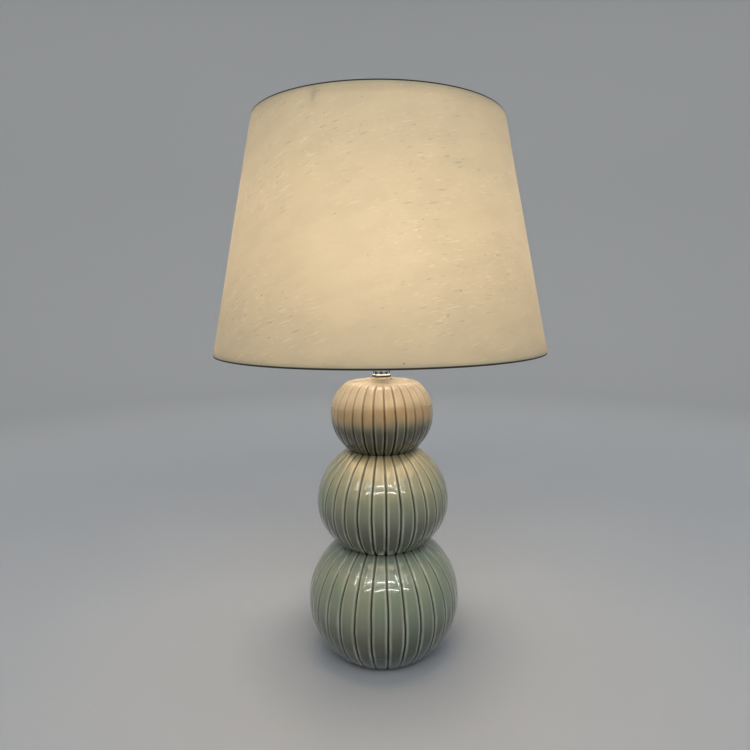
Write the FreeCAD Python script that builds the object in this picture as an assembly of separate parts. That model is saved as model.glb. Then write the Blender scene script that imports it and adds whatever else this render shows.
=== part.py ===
import FreeCAD, Part
import math
import os

os.makedirs("parts", exist_ok=True)

# Table lamp on a ceramic body of three stacked fluted globes, under a tapered fabric shade.
# The lamp stands on z = 0 and its axis is the Z axis. The front of the lamp looks along -Y.
# All sizes are in millimetres and degrees.

# Allowance by which a cut or a joined solid runs past the face that it meets
PAST = 1.0

# Ceramic body
FLUTES = 30
GROOVE_AZIMUTH = -86.0
GROOVE_WIDTH = 3.2
GROOVE_DEPTH = 1.8
GROOVE_SHOULDER_DEPTH = 1.2
GROOVE_END_DEPTH = 0.2
BOTTOM_GLOBE_R = 98.1
BOTTOM_GLOBE_UPPER_HALF = 92.4
BOTTOM_GLOBE_LOWER_HALF = 90.1
MIDDLE_GLOBE_R = 84.5
MIDDLE_GLOBE_UPPER_HALF = 79.3
MIDDLE_GLOBE_LOWER_HALF = 71.0
TOP_GLOBE_R = 65.2
TOP_GLOBE_UPPER_HALF = 57.2
TOP_GLOBE_LOWER_HALF = 59.5
FOOT_R = 60.7
LOWER_CREASE_R = 56.0
UPPER_CREASE_R = 43.0
SHOULDER_R = 48.0
CROWN_EDGE_R = 42.6
CROWN_EDGE_DROP = 2.0
CROWN_R = 24.0
CROWN_RISE = 2.88
COLLAR_FOOT_R = 19.5
COLLAR_FOOT_HEIGHT = 0.5
COLLAR_COVE_R = 14.6
COLLAR_COVE_HEIGHT = 2.6
COLLAR_TOP_R = 12.8
COLLAR_HEIGHT = 6.0
CERAMIC_WALL = 6.0
CROWN_WALL = 8.0
BOTTOM_GLOBE_BANDS = 6
MIDDLE_GLOBE_BANDS = 5
TOP_GLOBE_BANDS = 5
CAVITY_BANDS = 3

# Foot
FELT_THICKNESS = 1.5
FELT_MARGIN = 4.0
FOOT_RIM_WIDTH = 14.7
BASE_PLATE_THICKNESS = 2.5
BASE_PLATE_PLAY = 1.0
FOOT_RECESS_DEPTH = 9.5
PLATE_SEAT_WIDTH = 8.0
BASE_WASHER_R = 9.0
BASE_WASHER_THICKNESS = 1.2
BASE_NUT_FLATS = 14.0
BASE_NUT_HEIGHT = 4.0

# Cord inlet in the back of the bottom globe
GROMMET_HEIGHT = 34.0
GROMMET_BORE_R = 2.6
GROMMET_BODY_R = 4.8
GROMMET_FLANGE_R = 7.0
GROMMET_FLANGE_THICKNESS = 1.8
GROMMET_SEAT_DEPTH = 1.6
GROMMET_FIT = 0.2
GROMMET_HOLE_REACH = 22.0

# Lamp pipe and the pieces stacked on the crown
ROD_R = 4.85
ROD_BORE_R = 3.2
ROD_END_REACH = 0.6
THREAD_FIT = 0.05
HOLE_CLEARANCE = 0.35
TOP_GASKET_R = 11.9
TOP_GASKET_THICKNESS = 1.2
NECK_R = 10.9
NECK_WALL = 1.3
NECK_HEIGHT = 20.0
NECK_RIM_R = 11.5
NECK_RIM_START = 2.4
NECK_RIM_HEIGHT = 2.6
NECK_VENTS = 10
NECK_VENT_R = 1.9
NECK_VENT_SIDES = 6
NECK_VENT_HEIGHT = 7.3
SADDLE_THICKNESS = 1.5
SADDLE_WIDTH = 12.0
SADDLE_HALF_SPAN = 36.5
PRONG_WIDTH = 4.0
PRONG_HEIGHT = 14.0
LOCK_NUT_FLATS = 16.0
LOCK_NUT_HEIGHT = 3.0

# Lamp socket with a turn switch
SOCKET_CAP_HUB_R = 9.0
SOCKET_CAP_HUB_HEIGHT = 4.0
SOCKET_CAP_R = 17.9
SOCKET_CAP_FLARE = 8.0
SOCKET_CAP_RIM = 5.0
SOCKET_CAP_WALL = 0.8
SHELL_R = 17.0
SHELL_WALL = 0.5
SHELL_LENGTH = 43.0
LINER_WALL = 0.5
LINER_GAP = 0.1
SOCKET_BLOCK_R = 15.4
SOCKET_BLOCK_FLATS = 22.0
SOCKET_BLOCK_HEIGHT = 12.0
SCREW_SHELL_R = 13.8
SCREW_SHELL_WALL = 0.4
SCREW_SHELL_LENGTH = 24.0
CONTACT_WIDTH = 5.0
CONTACT_LENGTH = 9.0
CONTACT_THICKNESS = 0.6
CONTACT_LIFT = 2.4
CONTACT_TONGUE = 6.8
TERMINAL_SCREW_R = 2.6
TERMINAL_HEAD_THICKNESS = 2.2
SPINDLE_R = 1.9
SPINDLE_CLEARANCE = 0.4
SPINDLE_DEPTH = 8.0
SPINDLE_REACH = 25.0
KNOB_R = 5.5
KNOB_WAIST_R = 3.6
KNOB_LENGTH = 15.0
KNOB_WAIST_LENGTH = 5.0
KNOB_FLARE_LENGTH = 2.5
KNOB_NOSE_LENGTH = 2.2
KNOB_GAP = 1.5
KNOB_SIDES = 8

# Bulb
BULB_CAP_R = 13.1
BULB_CAP_LENGTH = 20.0
BULB_TIP_R = 4.8
BULB_TIP_LENGTH = 5.5
BULB_TIP_GAP = 0.4
BULB_NECK_R = 12.9
BULB_R = 30.0
BULB_LENGTH = 109.0
BULB_FLARE_ANGLE = -36.0
BULB_BANDS = 5

# Harp
HARP_HEIGHT = 247.0
HARP_WIRE_R = 2.2
HARP_HALF_WIDTH = 62.0
HARP_LEG_LENGTH = 30.0
HARP_FLARE_LENGTH = 55.0
HARP_SHOULDER_DROP = 46.5
HARP_SHOULDER_HALF_WIDTH = 27.9
HARP_BEND_R = 21.7
HARP_WIRE_SEAT = 4.0
HARP_FOOT_R = 4.0
HARP_FOOT_LENGTH = 16.0
HARP_SLOT_CLEARANCE = 0.3
SLEEVE_WALL = 1.0
SLEEVE_LENGTH = 14.0
SLEEVE_CLEARANCE = 0.35
SLEEVE_GAP = 0.6
EYE_LENGTH = 20.0
EYE_WIDTH = 12.0
EYE_THICKNESS = 5.0
STUD_R = 3.1
STUD_CLEARANCE = 0.35
STUD_HEAD_R = 5.5
STUD_HEAD_THICKNESS = 1.6
STUD_FLANGE_R = 7.5
STUD_FLANGE_THICKNESS = 2.0
STUD_GAP = 0.3
STUD_THREAD_LENGTH = 14.0

# Shade
SHADE_BOTTOM_R = 203.2
SHADE_TOP_R = 150.0
SHADE_SLANT = 279.4
SHADE_RECESS = 34.3
FABRIC_THICKNESS = 0.6
BACKING_THICKNESS = 0.5
RING_THICKNESS = 2.5
HUB_R = 14.0
HUB_THICKNESS = 4.0
HUB_SIDES = 12
SPIDER_ARMS = 3
SPIDER_AZIMUTH = -113.0
SPIDER_WIRE_R = 1.9
SPIDER_BEND_R = 7.0

# Finial
FINIAL_SIDES = 10
FINIAL_FOOT_R = 7.6
FINIAL_FOOT_HEIGHT = 3.2
FINIAL_WAIST_R = 4.5
FINIAL_WAIST_START = 5.8
FINIAL_WAIST_END = 9.6
FINIAL_KNOB_R = 9.0
FINIAL_KNOB_START = 17.6
FINIAL_KNOB_END = 21.8
FINIAL_SHOULDER_R = 5.6
FINIAL_SHOULDER_HEIGHT = 28.8
FINIAL_TIP_R = 1.8
FINIAL_HEIGHT = 32.0
FINIAL_BORE_DEPTH = 17.0


def ellipse_rise(radius, half_height, at):
    """Height above the centre of an upright ellipse where its half width has shrunk to at."""
    return half_height * math.sqrt(1.0 - (at / radius) ** 2)


# Heights that follow from the sizes above, counted up from the table
FOOT_Z = FELT_THICKNESS
BOTTOM_GLOBE_Z = FOOT_Z + ellipse_rise(BOTTOM_GLOBE_R, BOTTOM_GLOBE_LOWER_HALF, FOOT_R)
LOWER_CREASE_Z = BOTTOM_GLOBE_Z + ellipse_rise(BOTTOM_GLOBE_R, BOTTOM_GLOBE_UPPER_HALF, LOWER_CREASE_R)
MIDDLE_GLOBE_Z = LOWER_CREASE_Z + ellipse_rise(MIDDLE_GLOBE_R, MIDDLE_GLOBE_LOWER_HALF, LOWER_CREASE_R)
UPPER_CREASE_Z = MIDDLE_GLOBE_Z + ellipse_rise(MIDDLE_GLOBE_R, MIDDLE_GLOBE_UPPER_HALF, UPPER_CREASE_R)
TOP_GLOBE_Z = UPPER_CREASE_Z + ellipse_rise(TOP_GLOBE_R, TOP_GLOBE_LOWER_HALF, UPPER_CREASE_R)
SHOULDER_Z = TOP_GLOBE_Z + ellipse_rise(TOP_GLOBE_R, TOP_GLOBE_UPPER_HALF, SHOULDER_R)
CROWN_Z = SHOULDER_Z + CROWN_RISE
COLLAR_Z = CROWN_Z + COLLAR_HEIGHT
PLATE_SEAT_Z = FOOT_Z + FOOT_RECESS_DEPTH
NECK_Z = COLLAR_Z + TOP_GASKET_THICKNESS
SADDLE_Z = NECK_Z + NECK_HEIGHT
LOCK_NUT_Z = SADDLE_Z + SADDLE_THICKNESS
SOCKET_Z = LOCK_NUT_Z + LOCK_NUT_HEIGHT
CAP_FLARE_Z = SOCKET_Z + SOCKET_CAP_HUB_HEIGHT
SHELL_Z = CAP_FLARE_Z + SOCKET_CAP_FLARE
BLOCK_TOP_Z = SHELL_Z + SOCKET_BLOCK_HEIGHT
SPINDLE_Z = SHELL_Z + SOCKET_CAP_RIM + SPINDLE_R + SPINDLE_CLEARANCE
BULB_TIP_Z = BLOCK_TOP_Z + CONTACT_LIFT + BULB_TIP_GAP
BULB_NECK_Z = BULB_TIP_Z + BULB_TIP_LENGTH + BULB_CAP_LENGTH
BULB_TOP_Z = BULB_TIP_Z + BULB_LENGTH
HARP_TOP_Z = LOCK_NUT_Z + HARP_HEIGHT
STUD_FLANGE_Z = HARP_TOP_Z + STUD_GAP
HUB_Z = STUD_FLANGE_Z + STUD_FLANGE_THICKNESS
HUB_TOP_Z = HUB_Z + HUB_THICKNESS
SHADE_TOP_Z = HUB_Z + SHADE_RECESS
SHADE_HEIGHT = math.sqrt(SHADE_SLANT ** 2 - (SHADE_BOTTOM_R - SHADE_TOP_R) ** 2)
SHADE_BOTTOM_Z = SHADE_TOP_Z - SHADE_HEIGHT
SHADE_TAPER = (SHADE_BOTTOM_R - SHADE_TOP_R) / SHADE_HEIGHT

PITCH = 2.0 * math.pi / FLUTES
FIRST_GROOVE = math.radians(GROOVE_AZIMUTH)
UP = FreeCAD.Vector(0, 0, 1)
ORIGIN = FreeCAD.Vector(0, 0, 0)
PLANE_TOLERANCE = 1e-7


def revolved(points):
    """Solid of revolution about Z of a closed outline of (radius, height) points."""
    corners = [FreeCAD.Vector(r, 0, z) for r, z in points]
    outline = Part.makePolygon(corners + corners[:1])
    return Part.Face(outline).revolve(ORIGIN, UP, 360)


def disc(radius, bottom, height):
    """Plain cylinder about Z."""
    return Part.makeCylinder(radius, height, FreeCAD.Vector(0, 0, bottom))


def tube(outer, inner, bottom, height):
    """Straight tube about Z."""
    return disc(outer, bottom, height).cut(disc(inner, bottom, height))


def hexagon(across_flats, bottom, height):
    """Hexagonal prism about Z."""
    corner_r = across_flats / math.sqrt(3.0)
    corners = []
    for side in range(7):
        turn = side * math.pi / 3.0
        corners.append(FreeCAD.Vector(corner_r * math.cos(turn), corner_r * math.sin(turn), bottom))
    return Part.Face(Part.makePolygon(corners)).extrude(FreeCAD.Vector(0, 0, height))


def flat_facets(corners):
    """One plane face through four corners, or two triangles where the four are not in a plane."""
    a, b, c, d = corners
    normal = (b - a).cross(c - a)
    if abs(normal.dot(d - a)) <= PLANE_TOLERANCE * max(normal.Length, 1.0):
        return [Part.Face(Part.makePolygon([a, b, c, d, a]))]
    return [Part.Face(Part.makePolygon([a, b, c, a])), Part.Face(Part.makePolygon([a, c, d, a]))]


def stacked(rings):
    """Closed solid skinned over a stack of rings that all have the same number of corners."""
    faces = [Part.Face(Part.makePolygon(rings[0] + rings[0][:1]))]
    faces.append(Part.Face(Part.makePolygon(rings[-1] + rings[-1][:1])))
    for lower, upper in zip(rings, rings[1:]):
        for here in range(len(lower)):
            after = (here + 1) % len(lower)
            faces += flat_facets((lower[here], lower[after], upper[after], upper[here]))
    shell = Part.makeShell(faces)
    shell.sewShape()
    return Part.makeSolid(Part.Shell(shell.Faces))


def even_ring(radius, height, sides, start):
    """Corners of a regular polygon about Z."""
    ring = []
    for side in range(sides):
        turn = start + 2.0 * math.pi * side / sides
        ring.append(FreeCAD.Vector(radius * math.cos(turn), radius * math.sin(turn), height))
    return ring


def fluted_ring(radius, height, depth):
    """Section of the fluted body: flat panels with a V groove of the given depth between each two."""
    ring = []
    for flute in range(FLUTES):
        turn = FIRST_GROOVE + flute * PITCH
        out = FreeCAD.Vector(math.cos(turn), math.sin(turn), 0)
        across = FreeCAD.Vector(-math.sin(turn), math.cos(turn), 0) * (GROOVE_WIDTH / 2.0)
        level = UP * height
        ring.append(out * radius - across + level)
        ring.append(out * (radius - depth) + level)
        ring.append(out * radius + across + level)
    return ring


def globe_outline(radius, lower_half, upper_half, centre, start_r, end_r, bands):
    """Points (radius, height) up a globe, a half ellipse below its equator and another above it."""
    start = -math.acos(start_r / radius)
    end = math.acos(end_r / radius)
    points = []
    for step in range(bands + 1):
        turn = start + (end - start) * step / bands
        half_height = lower_half if turn < 0.0 else upper_half
        points.append((radius * math.cos(turn), centre + half_height * math.sin(turn)))
    return points


def body_outline(bottom_bands, middle_bands, top_bands):
    """Outline of the three globes from the foot to the shoulder, with sharp creases between them."""
    bottom = globe_outline(BOTTOM_GLOBE_R, BOTTOM_GLOBE_LOWER_HALF, BOTTOM_GLOBE_UPPER_HALF,
                           BOTTOM_GLOBE_Z, FOOT_R, LOWER_CREASE_R, bottom_bands)
    middle = globe_outline(MIDDLE_GLOBE_R, MIDDLE_GLOBE_LOWER_HALF, MIDDLE_GLOBE_UPPER_HALF,
                           MIDDLE_GLOBE_Z, LOWER_CREASE_R, UPPER_CREASE_R, middle_bands)
    top = globe_outline(TOP_GLOBE_R, TOP_GLOBE_LOWER_HALF, TOP_GLOBE_UPPER_HALF,
                        TOP_GLOBE_Z, UPPER_CREASE_R, SHOULDER_R, top_bands)
    return bottom + middle[1:] + top[1:]


def grommet_frame():
    """Point on the bottom globe's panel nearest the back at the inlet's height, and the way out there."""
    rise = (GROMMET_HEIGHT - BOTTOM_GLOBE_Z) / BOTTOM_GLOBE_LOWER_HALF
    radius = BOTTOM_GLOBE_R * math.sqrt(1.0 - rise ** 2)
    panels_to_back = round((math.pi / 2.0 - FIRST_GROOVE - PITCH / 2.0) / PITCH)
    turn = FIRST_GROOVE + (panels_to_back + 0.5) * PITCH
    level = radius / BOTTOM_GLOBE_R ** 2
    drop = (GROMMET_HEIGHT - BOTTOM_GLOBE_Z) / BOTTOM_GLOBE_LOWER_HALF ** 2
    out = FreeCAD.Vector(level * math.cos(turn), level * math.sin(turn), drop).normalize()
    panel_r = radius * math.cos(PITCH / 2.0)
    return FreeCAD.Vector(panel_r * math.cos(turn), panel_r * math.sin(turn), GROMMET_HEIGHT), out


def ceramic_body():
    """One-piece glazed body: three fluted globes, hollow, open at the foot, with a coved collar on top."""
    rings = [fluted_ring(r, z, GROOVE_DEPTH)
             for r, z in body_outline(BOTTOM_GLOBE_BANDS, MIDDLE_GLOBE_BANDS, TOP_GLOBE_BANDS)]
    rings.append(fluted_ring(CROWN_EDGE_R, CROWN_Z - CROWN_EDGE_DROP, GROOVE_SHOULDER_DEPTH))
    rings.append(fluted_ring(CROWN_R, CROWN_Z, GROOVE_END_DEPTH))
    body = stacked(rings)
    collar = revolved([(0, CROWN_Z - PAST), (COLLAR_FOOT_R, CROWN_Z - PAST),
                       (COLLAR_FOOT_R, CROWN_Z + COLLAR_FOOT_HEIGHT),
                       (COLLAR_COVE_R, CROWN_Z + COLLAR_COVE_HEIGHT),
                       (COLLAR_TOP_R, COLLAR_Z), (0, COLLAR_Z)])
    body = body.fuse(collar)
    opening_r = FOOT_R - FOOT_RIM_WIDTH - PLATE_SEAT_WIDTH
    inside = [(opening_r, PLATE_SEAT_Z - PAST), (opening_r, PLATE_SEAT_Z + CERAMIC_WALL / 2.0)]
    for r, z in body_outline(CAVITY_BANDS, CAVITY_BANDS, CAVITY_BANDS):
        if z > PLATE_SEAT_Z + CERAMIC_WALL and z < CROWN_Z - CROWN_WALL:
            inside.append((r - CERAMIC_WALL - GROOVE_DEPTH, z))
    inside.append((SHOULDER_R - GROOVE_DEPTH - CROWN_WALL, CROWN_Z - CROWN_WALL))
    cavity = stacked([even_ring(r, z, FLUTES, FIRST_GROOVE) for r, z in inside])
    body = body.cut(cavity)
    body = body.cut(disc(FOOT_R - FOOT_RIM_WIDTH, FOOT_Z - PAST, FOOT_RECESS_DEPTH + PAST))
    body = body.cut(disc(ROD_R + HOLE_CLEARANCE, PLATE_SEAT_Z, COLLAR_Z))
    place, out = grommet_frame()
    seat = place - out * GROMMET_SEAT_DEPTH
    deep = place - out * GROMMET_HOLE_REACH
    body = body.cut(Part.makeCylinder(GROMMET_BODY_R + GROMMET_FIT, GROMMET_HOLE_REACH + PAST, deep, out))
    return body.cut(Part.makeCylinder(GROMMET_FLANGE_R + GROMMET_FIT, GROMMET_SEAT_DEPTH + PAST, seat, out))


def base_felt():
    """Felt pad under the foot."""
    return disc(FOOT_R - FELT_MARGIN, 0, FELT_THICKNESS)


def base_plate():
    """Steel plate that closes the foot and takes the pull of the pipe."""
    radius = FOOT_R - FOOT_RIM_WIDTH - BASE_PLATE_PLAY
    bottom = PLATE_SEAT_Z - BASE_PLATE_THICKNESS
    return tube(radius, ROD_R + HOLE_CLEARANCE, bottom, BASE_PLATE_THICKNESS)


def base_washer():
    """Washer between the plate and its nut."""
    bottom = PLATE_SEAT_Z - BASE_PLATE_THICKNESS - BASE_WASHER_THICKNESS
    return tube(BASE_WASHER_R, ROD_R + HOLE_CLEARANCE, bottom, BASE_WASHER_THICKNESS)


def base_nut_bottom():
    """Height of the underside of the nut below the plate."""
    return PLATE_SEAT_Z - BASE_PLATE_THICKNESS - BASE_WASHER_THICKNESS - BASE_NUT_HEIGHT


def base_nut():
    """Nut on the lower end of the pipe."""
    bottom = base_nut_bottom()
    return hexagon(BASE_NUT_FLATS, bottom, BASE_NUT_HEIGHT).cut(
        disc(ROD_R + THREAD_FIT, bottom, BASE_NUT_HEIGHT))


def threaded_rod():
    """Hollow lamp pipe that clamps plate, body, neck and socket together."""
    bottom = base_nut_bottom() - ROD_END_REACH
    top = SOCKET_Z + SOCKET_CAP_HUB_HEIGHT + ROD_END_REACH
    return tube(ROD_R, ROD_BORE_R, bottom, top - bottom)


def cord_grommet():
    """Plastic bushing of the cord inlet, with its flange seated in the counterbore of the body."""
    place, out = grommet_frame()
    flange_in = -GROMMET_SEAT_DEPTH
    flange_out = flange_in + GROMMET_FLANGE_THICKNESS
    inner_end = flange_in - CERAMIC_WALL
    shape = revolved([(GROMMET_BORE_R, inner_end), (GROMMET_BODY_R, inner_end),
                      (GROMMET_BODY_R, flange_in), (GROMMET_FLANGE_R, flange_in),
                      (GROMMET_FLANGE_R, flange_out), (GROMMET_BORE_R, flange_out)])
    shape.Placement = FreeCAD.Placement(place, FreeCAD.Rotation(UP, out))
    return shape


def top_gasket():
    """Thin rubber washer between the ceramic collar and the neck."""
    return tube(TOP_GASKET_R, ROD_R + HOLE_CLEARANCE, COLLAR_Z, TOP_GASKET_THICKNESS)


def neck():
    """Plated neck with a raised rim near its foot and a row of vents above the rim."""
    rim_z = NECK_Z + NECK_RIM_START
    shape = revolved([(NECK_R - NECK_WALL, NECK_Z), (NECK_R, NECK_Z), (NECK_R, rim_z), (NECK_RIM_R, rim_z),
                      (NECK_RIM_R, rim_z + NECK_RIM_HEIGHT), (NECK_R, rim_z + NECK_RIM_HEIGHT),
                      (NECK_R, SADDLE_Z), (ROD_R + HOLE_CLEARANCE, SADDLE_Z),
                      (ROD_R + HOLE_CLEARANCE, SADDLE_Z - NECK_WALL),
                      (NECK_R - NECK_WALL, SADDLE_Z - NECK_WALL)])
    vent = Part.Face(Part.makePolygon(even_ring(NECK_VENT_R, ROD_R + HOLE_CLEARANCE, NECK_VENT_SIDES, 0.0)
                                      + even_ring(NECK_VENT_R, ROD_R + HOLE_CLEARANCE, 1, 0.0)))
    vent = vent.extrude(UP * NECK_R)
    for number in range(NECK_VENTS):
        turn = 2.0 * math.pi * number / NECK_VENTS - math.pi / 2.0
        out = FreeCAD.Vector(math.cos(turn), math.sin(turn), 0)
        vent.Placement = FreeCAD.Placement(UP * (NECK_Z + NECK_VENT_HEIGHT), FreeCAD.Rotation(UP, out))
        shape = shape.cut(vent)
    return shape


def harp_saddle():
    """Bent strip under the socket with an upright prong at each end for the feet of the harp."""
    half = SADDLE_HALF_SPAN + SADDLE_THICKNESS / 2.0
    shape = Part.makeBox(2.0 * half, SADDLE_WIDTH, SADDLE_THICKNESS,
                         FreeCAD.Vector(-half, -SADDLE_WIDTH / 2.0, SADDLE_Z))
    for side in (-1, 1):
        corner = FreeCAD.Vector(side * SADDLE_HALF_SPAN - SADDLE_THICKNESS / 2.0,
                                -PRONG_WIDTH / 2.0, LOCK_NUT_Z)
        shape = shape.fuse(Part.makeBox(SADDLE_THICKNESS, PRONG_WIDTH, PRONG_HEIGHT, corner))
    return shape.cut(disc(ROD_R + HOLE_CLEARANCE, SADDLE_Z, SADDLE_THICKNESS)).removeSplitter()


def lock_nut():
    """Nut that holds the saddle down on the neck."""
    return hexagon(LOCK_NUT_FLATS, LOCK_NUT_Z, LOCK_NUT_HEIGHT).cut(
        disc(ROD_R + THREAD_FIT, LOCK_NUT_Z, LOCK_NUT_HEIGHT))


def socket_cap():
    """Flared lower cup of the socket, screwed on the pipe."""
    rim_z = SHELL_Z + SOCKET_CAP_RIM
    inner_r = SOCKET_CAP_R - SOCKET_CAP_WALL
    return revolved([(ROD_R + THREAD_FIT, SOCKET_Z), (SOCKET_CAP_HUB_R, SOCKET_Z),
                     (SOCKET_CAP_HUB_R, CAP_FLARE_Z), (SOCKET_CAP_R, SHELL_Z - SOCKET_CAP_WALL),
                     (SOCKET_CAP_R, rim_z), (inner_r, rim_z), (inner_r, SHELL_Z),
                     (SOCKET_CAP_HUB_R - SOCKET_CAP_WALL, CAP_FLARE_Z),
                     (ROD_R + THREAD_FIT, CAP_FLARE_Z)])


def side_hole():
    """Hole for the switch spindle through the front of the socket, from its middle outwards."""
    return Part.makeCylinder(SPINDLE_R + SPINDLE_CLEARANCE, 2.0 * SHELL_R,
                             FreeCAD.Vector(0, 0, SPINDLE_Z), FreeCAD.Vector(0, -1, 0))


def socket_shell():
    """Thin plated tube round the socket's works."""
    return tube(SHELL_R, SHELL_R - SHELL_WALL, SHELL_Z, SHELL_LENGTH).cut(side_hole())


def socket_insulator():
    """Fibre liner inside the socket shell."""
    outer = SHELL_R - SHELL_WALL - LINER_GAP
    return tube(outer, outer - LINER_WALL, SHELL_Z, SHELL_LENGTH).cut(side_hole())


def socket_block():
    """Moulded switch block with two flat sides for the terminals."""
    block = disc(SOCKET_BLOCK_R, SHELL_Z, SOCKET_BLOCK_HEIGHT)
    width = SOCKET_BLOCK_FLATS
    flats = Part.makeBox(width, 2.0 * SHELL_R, SOCKET_BLOCK_HEIGHT,
                         FreeCAD.Vector(-width / 2.0, -SHELL_R, SHELL_Z))
    return block.common(flats).cut(side_hole())


def screw_shell():
    """Threaded shell that takes the bulb's cap, shown without its thread."""
    return tube(SCREW_SHELL_R, SCREW_SHELL_R - SCREW_SHELL_WALL, BLOCK_TOP_Z, SCREW_SHELL_LENGTH)


def centre_contact():
    """Bent brass tongue that the bulb's tip presses on."""
    half = CONTACT_LENGTH / 2.0
    top = BLOCK_TOP_Z + CONTACT_LIFT
    thick = CONTACT_THICKNESS
    outline = [(-half, BLOCK_TOP_Z), (half, BLOCK_TOP_Z), (half, BLOCK_TOP_Z + thick),
               (thick - half, BLOCK_TOP_Z + thick), (thick - half, top - thick),
               (CONTACT_TONGUE - half, top - thick), (CONTACT_TONGUE - half, top), (-half, top)]
    corners = [FreeCAD.Vector(x, -CONTACT_WIDTH / 2.0, z) for x, z in outline]
    return Part.Face(Part.makePolygon(corners + corners[:1])).extrude(FreeCAD.Vector(0, CONTACT_WIDTH, 0))


def terminal_screws():
    """Two binding screws, one on each flat side of the block."""
    heads = []
    for side in (-1, 1):
        start = FreeCAD.Vector(side * SOCKET_BLOCK_FLATS / 2.0, 0, (SHELL_Z + BLOCK_TOP_Z) / 2.0)
        heads.append(Part.makeCylinder(TERMINAL_SCREW_R, TERMINAL_HEAD_THICKNESS, start,
                                       FreeCAD.Vector(side, 0, 0)))
    return Part.makeCompound(heads)


def switch_spindle():
    """Round spindle from the switch block out through the shell."""
    start = FreeCAD.Vector(0, -SPINDLE_DEPTH, SPINDLE_Z)
    return Part.makeCylinder(SPINDLE_R, SPINDLE_REACH - SPINDLE_DEPTH, start, FreeCAD.Vector(0, -1, 0))


def switch_knob():
    """Eight-sided turn knob pushed on the spindle, waisted behind its grip."""
    start = SHELL_R + KNOB_GAP
    waist_end = start + KNOB_WAIST_LENGTH
    end = start + KNOB_LENGTH
    sections = [(KNOB_WAIST_R, start), (KNOB_WAIST_R, waist_end), (KNOB_R, waist_end + KNOB_FLARE_LENGTH),
                (KNOB_R, end - KNOB_NOSE_LENGTH), (KNOB_WAIST_R, end)]
    shape = stacked([even_ring(r, z, KNOB_SIDES, 0.0) for r, z in sections])
    shape = shape.cut(disc(SPINDLE_R + THREAD_FIT, start - PAST, SPINDLE_REACH - start + PAST))
    shape.Placement = FreeCAD.Placement(FreeCAD.Vector(0, 0, SPINDLE_Z),
                                        FreeCAD.Rotation(UP, FreeCAD.Vector(0, -1, 0)))
    return shape


def bulb_cap():
    """Metal screw cap of the bulb with its tapered insulator and centre tip."""
    shoulder = BULB_TIP_Z + BULB_TIP_LENGTH
    return revolved([(0, BULB_TIP_Z), (BULB_TIP_R, BULB_TIP_Z), (BULB_CAP_R, shoulder),
                     (BULB_CAP_R, BULB_NECK_Z), (0, BULB_NECK_Z)])


def bulb_glass():
    """Envelope of the bulb: a straight flare up from the cap, then a round dome in chords."""
    centre = BULB_TOP_Z - BULB_R
    outline = [(0, BULB_NECK_Z), (BULB_NECK_R, BULB_NECK_Z)]
    start = math.radians(BULB_FLARE_ANGLE)
    for step in range(BULB_BANDS):
        turn = start + (math.pi / 2.0 - start) * step / BULB_BANDS
        outline.append((BULB_R * math.cos(turn), centre + BULB_R * math.sin(turn)))
    outline.append((0, BULB_TOP_Z))
    return revolved(outline)


def wire_along(points, bend_r, wire_r):
    """Round wire along straight runs that are joined by tangent arcs of one radius."""
    pieces = []
    here = points[0]
    for before, corner, after in zip(points, points[1:], points[2:]):
        back = (before - corner).normalize()
        on = (after - corner).normalize()
        half_angle = back.getAngle(on) / 2.0
        start = corner + back * (bend_r / math.tan(half_angle))
        centre = corner + (back + on).normalize() * (bend_r / math.sin(half_angle))
        section = Part.Face(Part.Wire(Part.makeCircle(wire_r, start, back)))
        turned = 180.0 - math.degrees(2.0 * half_angle)
        pieces.append(section.revolve(centre, back.cross(on).normalize() * -1.0, turned))
        pieces.append(Part.makeCylinder(wire_r, (start - here).Length, here, start - here))
        here = corner + on * (bend_r / math.tan(half_angle))
    last = points[-1] - here
    pieces.append(Part.makeCylinder(wire_r, last.Length, here, last))
    return pieces[0].fuse(pieces[1:])


def harp_bow():
    """Wire bow that rises round the bulb to a flat eye, with a slotted foot on each leg."""
    foot_top = LOCK_NUT_Z + SLEEVE_GAP + HARP_FOOT_LENGTH
    eye_bottom = HARP_TOP_Z - EYE_THICKNESS
    wire_z = (HARP_TOP_Z + eye_bottom) / 2.0
    shape = Part.makeBox(EYE_LENGTH, EYE_WIDTH, EYE_THICKNESS,
                         FreeCAD.Vector(-EYE_LENGTH / 2.0, -EYE_WIDTH / 2.0, eye_bottom))
    for side in (-1, 1):
        leg = side * SADDLE_HALF_SPAN
        wide = side * HARP_HALF_WIDTH
        route = [FreeCAD.Vector(leg, 0, foot_top - HARP_WIRE_SEAT),
                 FreeCAD.Vector(leg, 0, foot_top + HARP_LEG_LENGTH),
                 FreeCAD.Vector(wide, 0, foot_top + HARP_LEG_LENGTH + HARP_FLARE_LENGTH),
                 FreeCAD.Vector(wide, 0, wire_z - HARP_SHOULDER_DROP),
                 FreeCAD.Vector(side * HARP_SHOULDER_HALF_WIDTH, 0, wire_z),
                 FreeCAD.Vector(side * (EYE_LENGTH / 2.0 - HARP_WIRE_SEAT), 0, wire_z)]
        shape = shape.fuse(wire_along(route, HARP_BEND_R, HARP_WIRE_R))
        foot = Part.makeCylinder(HARP_FOOT_R, HARP_FOOT_LENGTH,
                                 FreeCAD.Vector(leg, 0, LOCK_NUT_Z + SLEEVE_GAP))
        shape = shape.fuse(foot)
        play = HARP_SLOT_CLEARANCE
        slot = Part.makeBox(SADDLE_THICKNESS + 2.0 * play, PRONG_WIDTH + 2.0 * play,
                            PRONG_HEIGHT + play - SLEEVE_GAP,
                            FreeCAD.Vector(leg - SADDLE_THICKNESS / 2.0 - play,
                                           -PRONG_WIDTH / 2.0 - play, LOCK_NUT_Z + SLEEVE_GAP))
        shape = shape.cut(slot)
    return shape.cut(disc(STUD_R + STUD_CLEARANCE, eye_bottom, EYE_THICKNESS))


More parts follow.
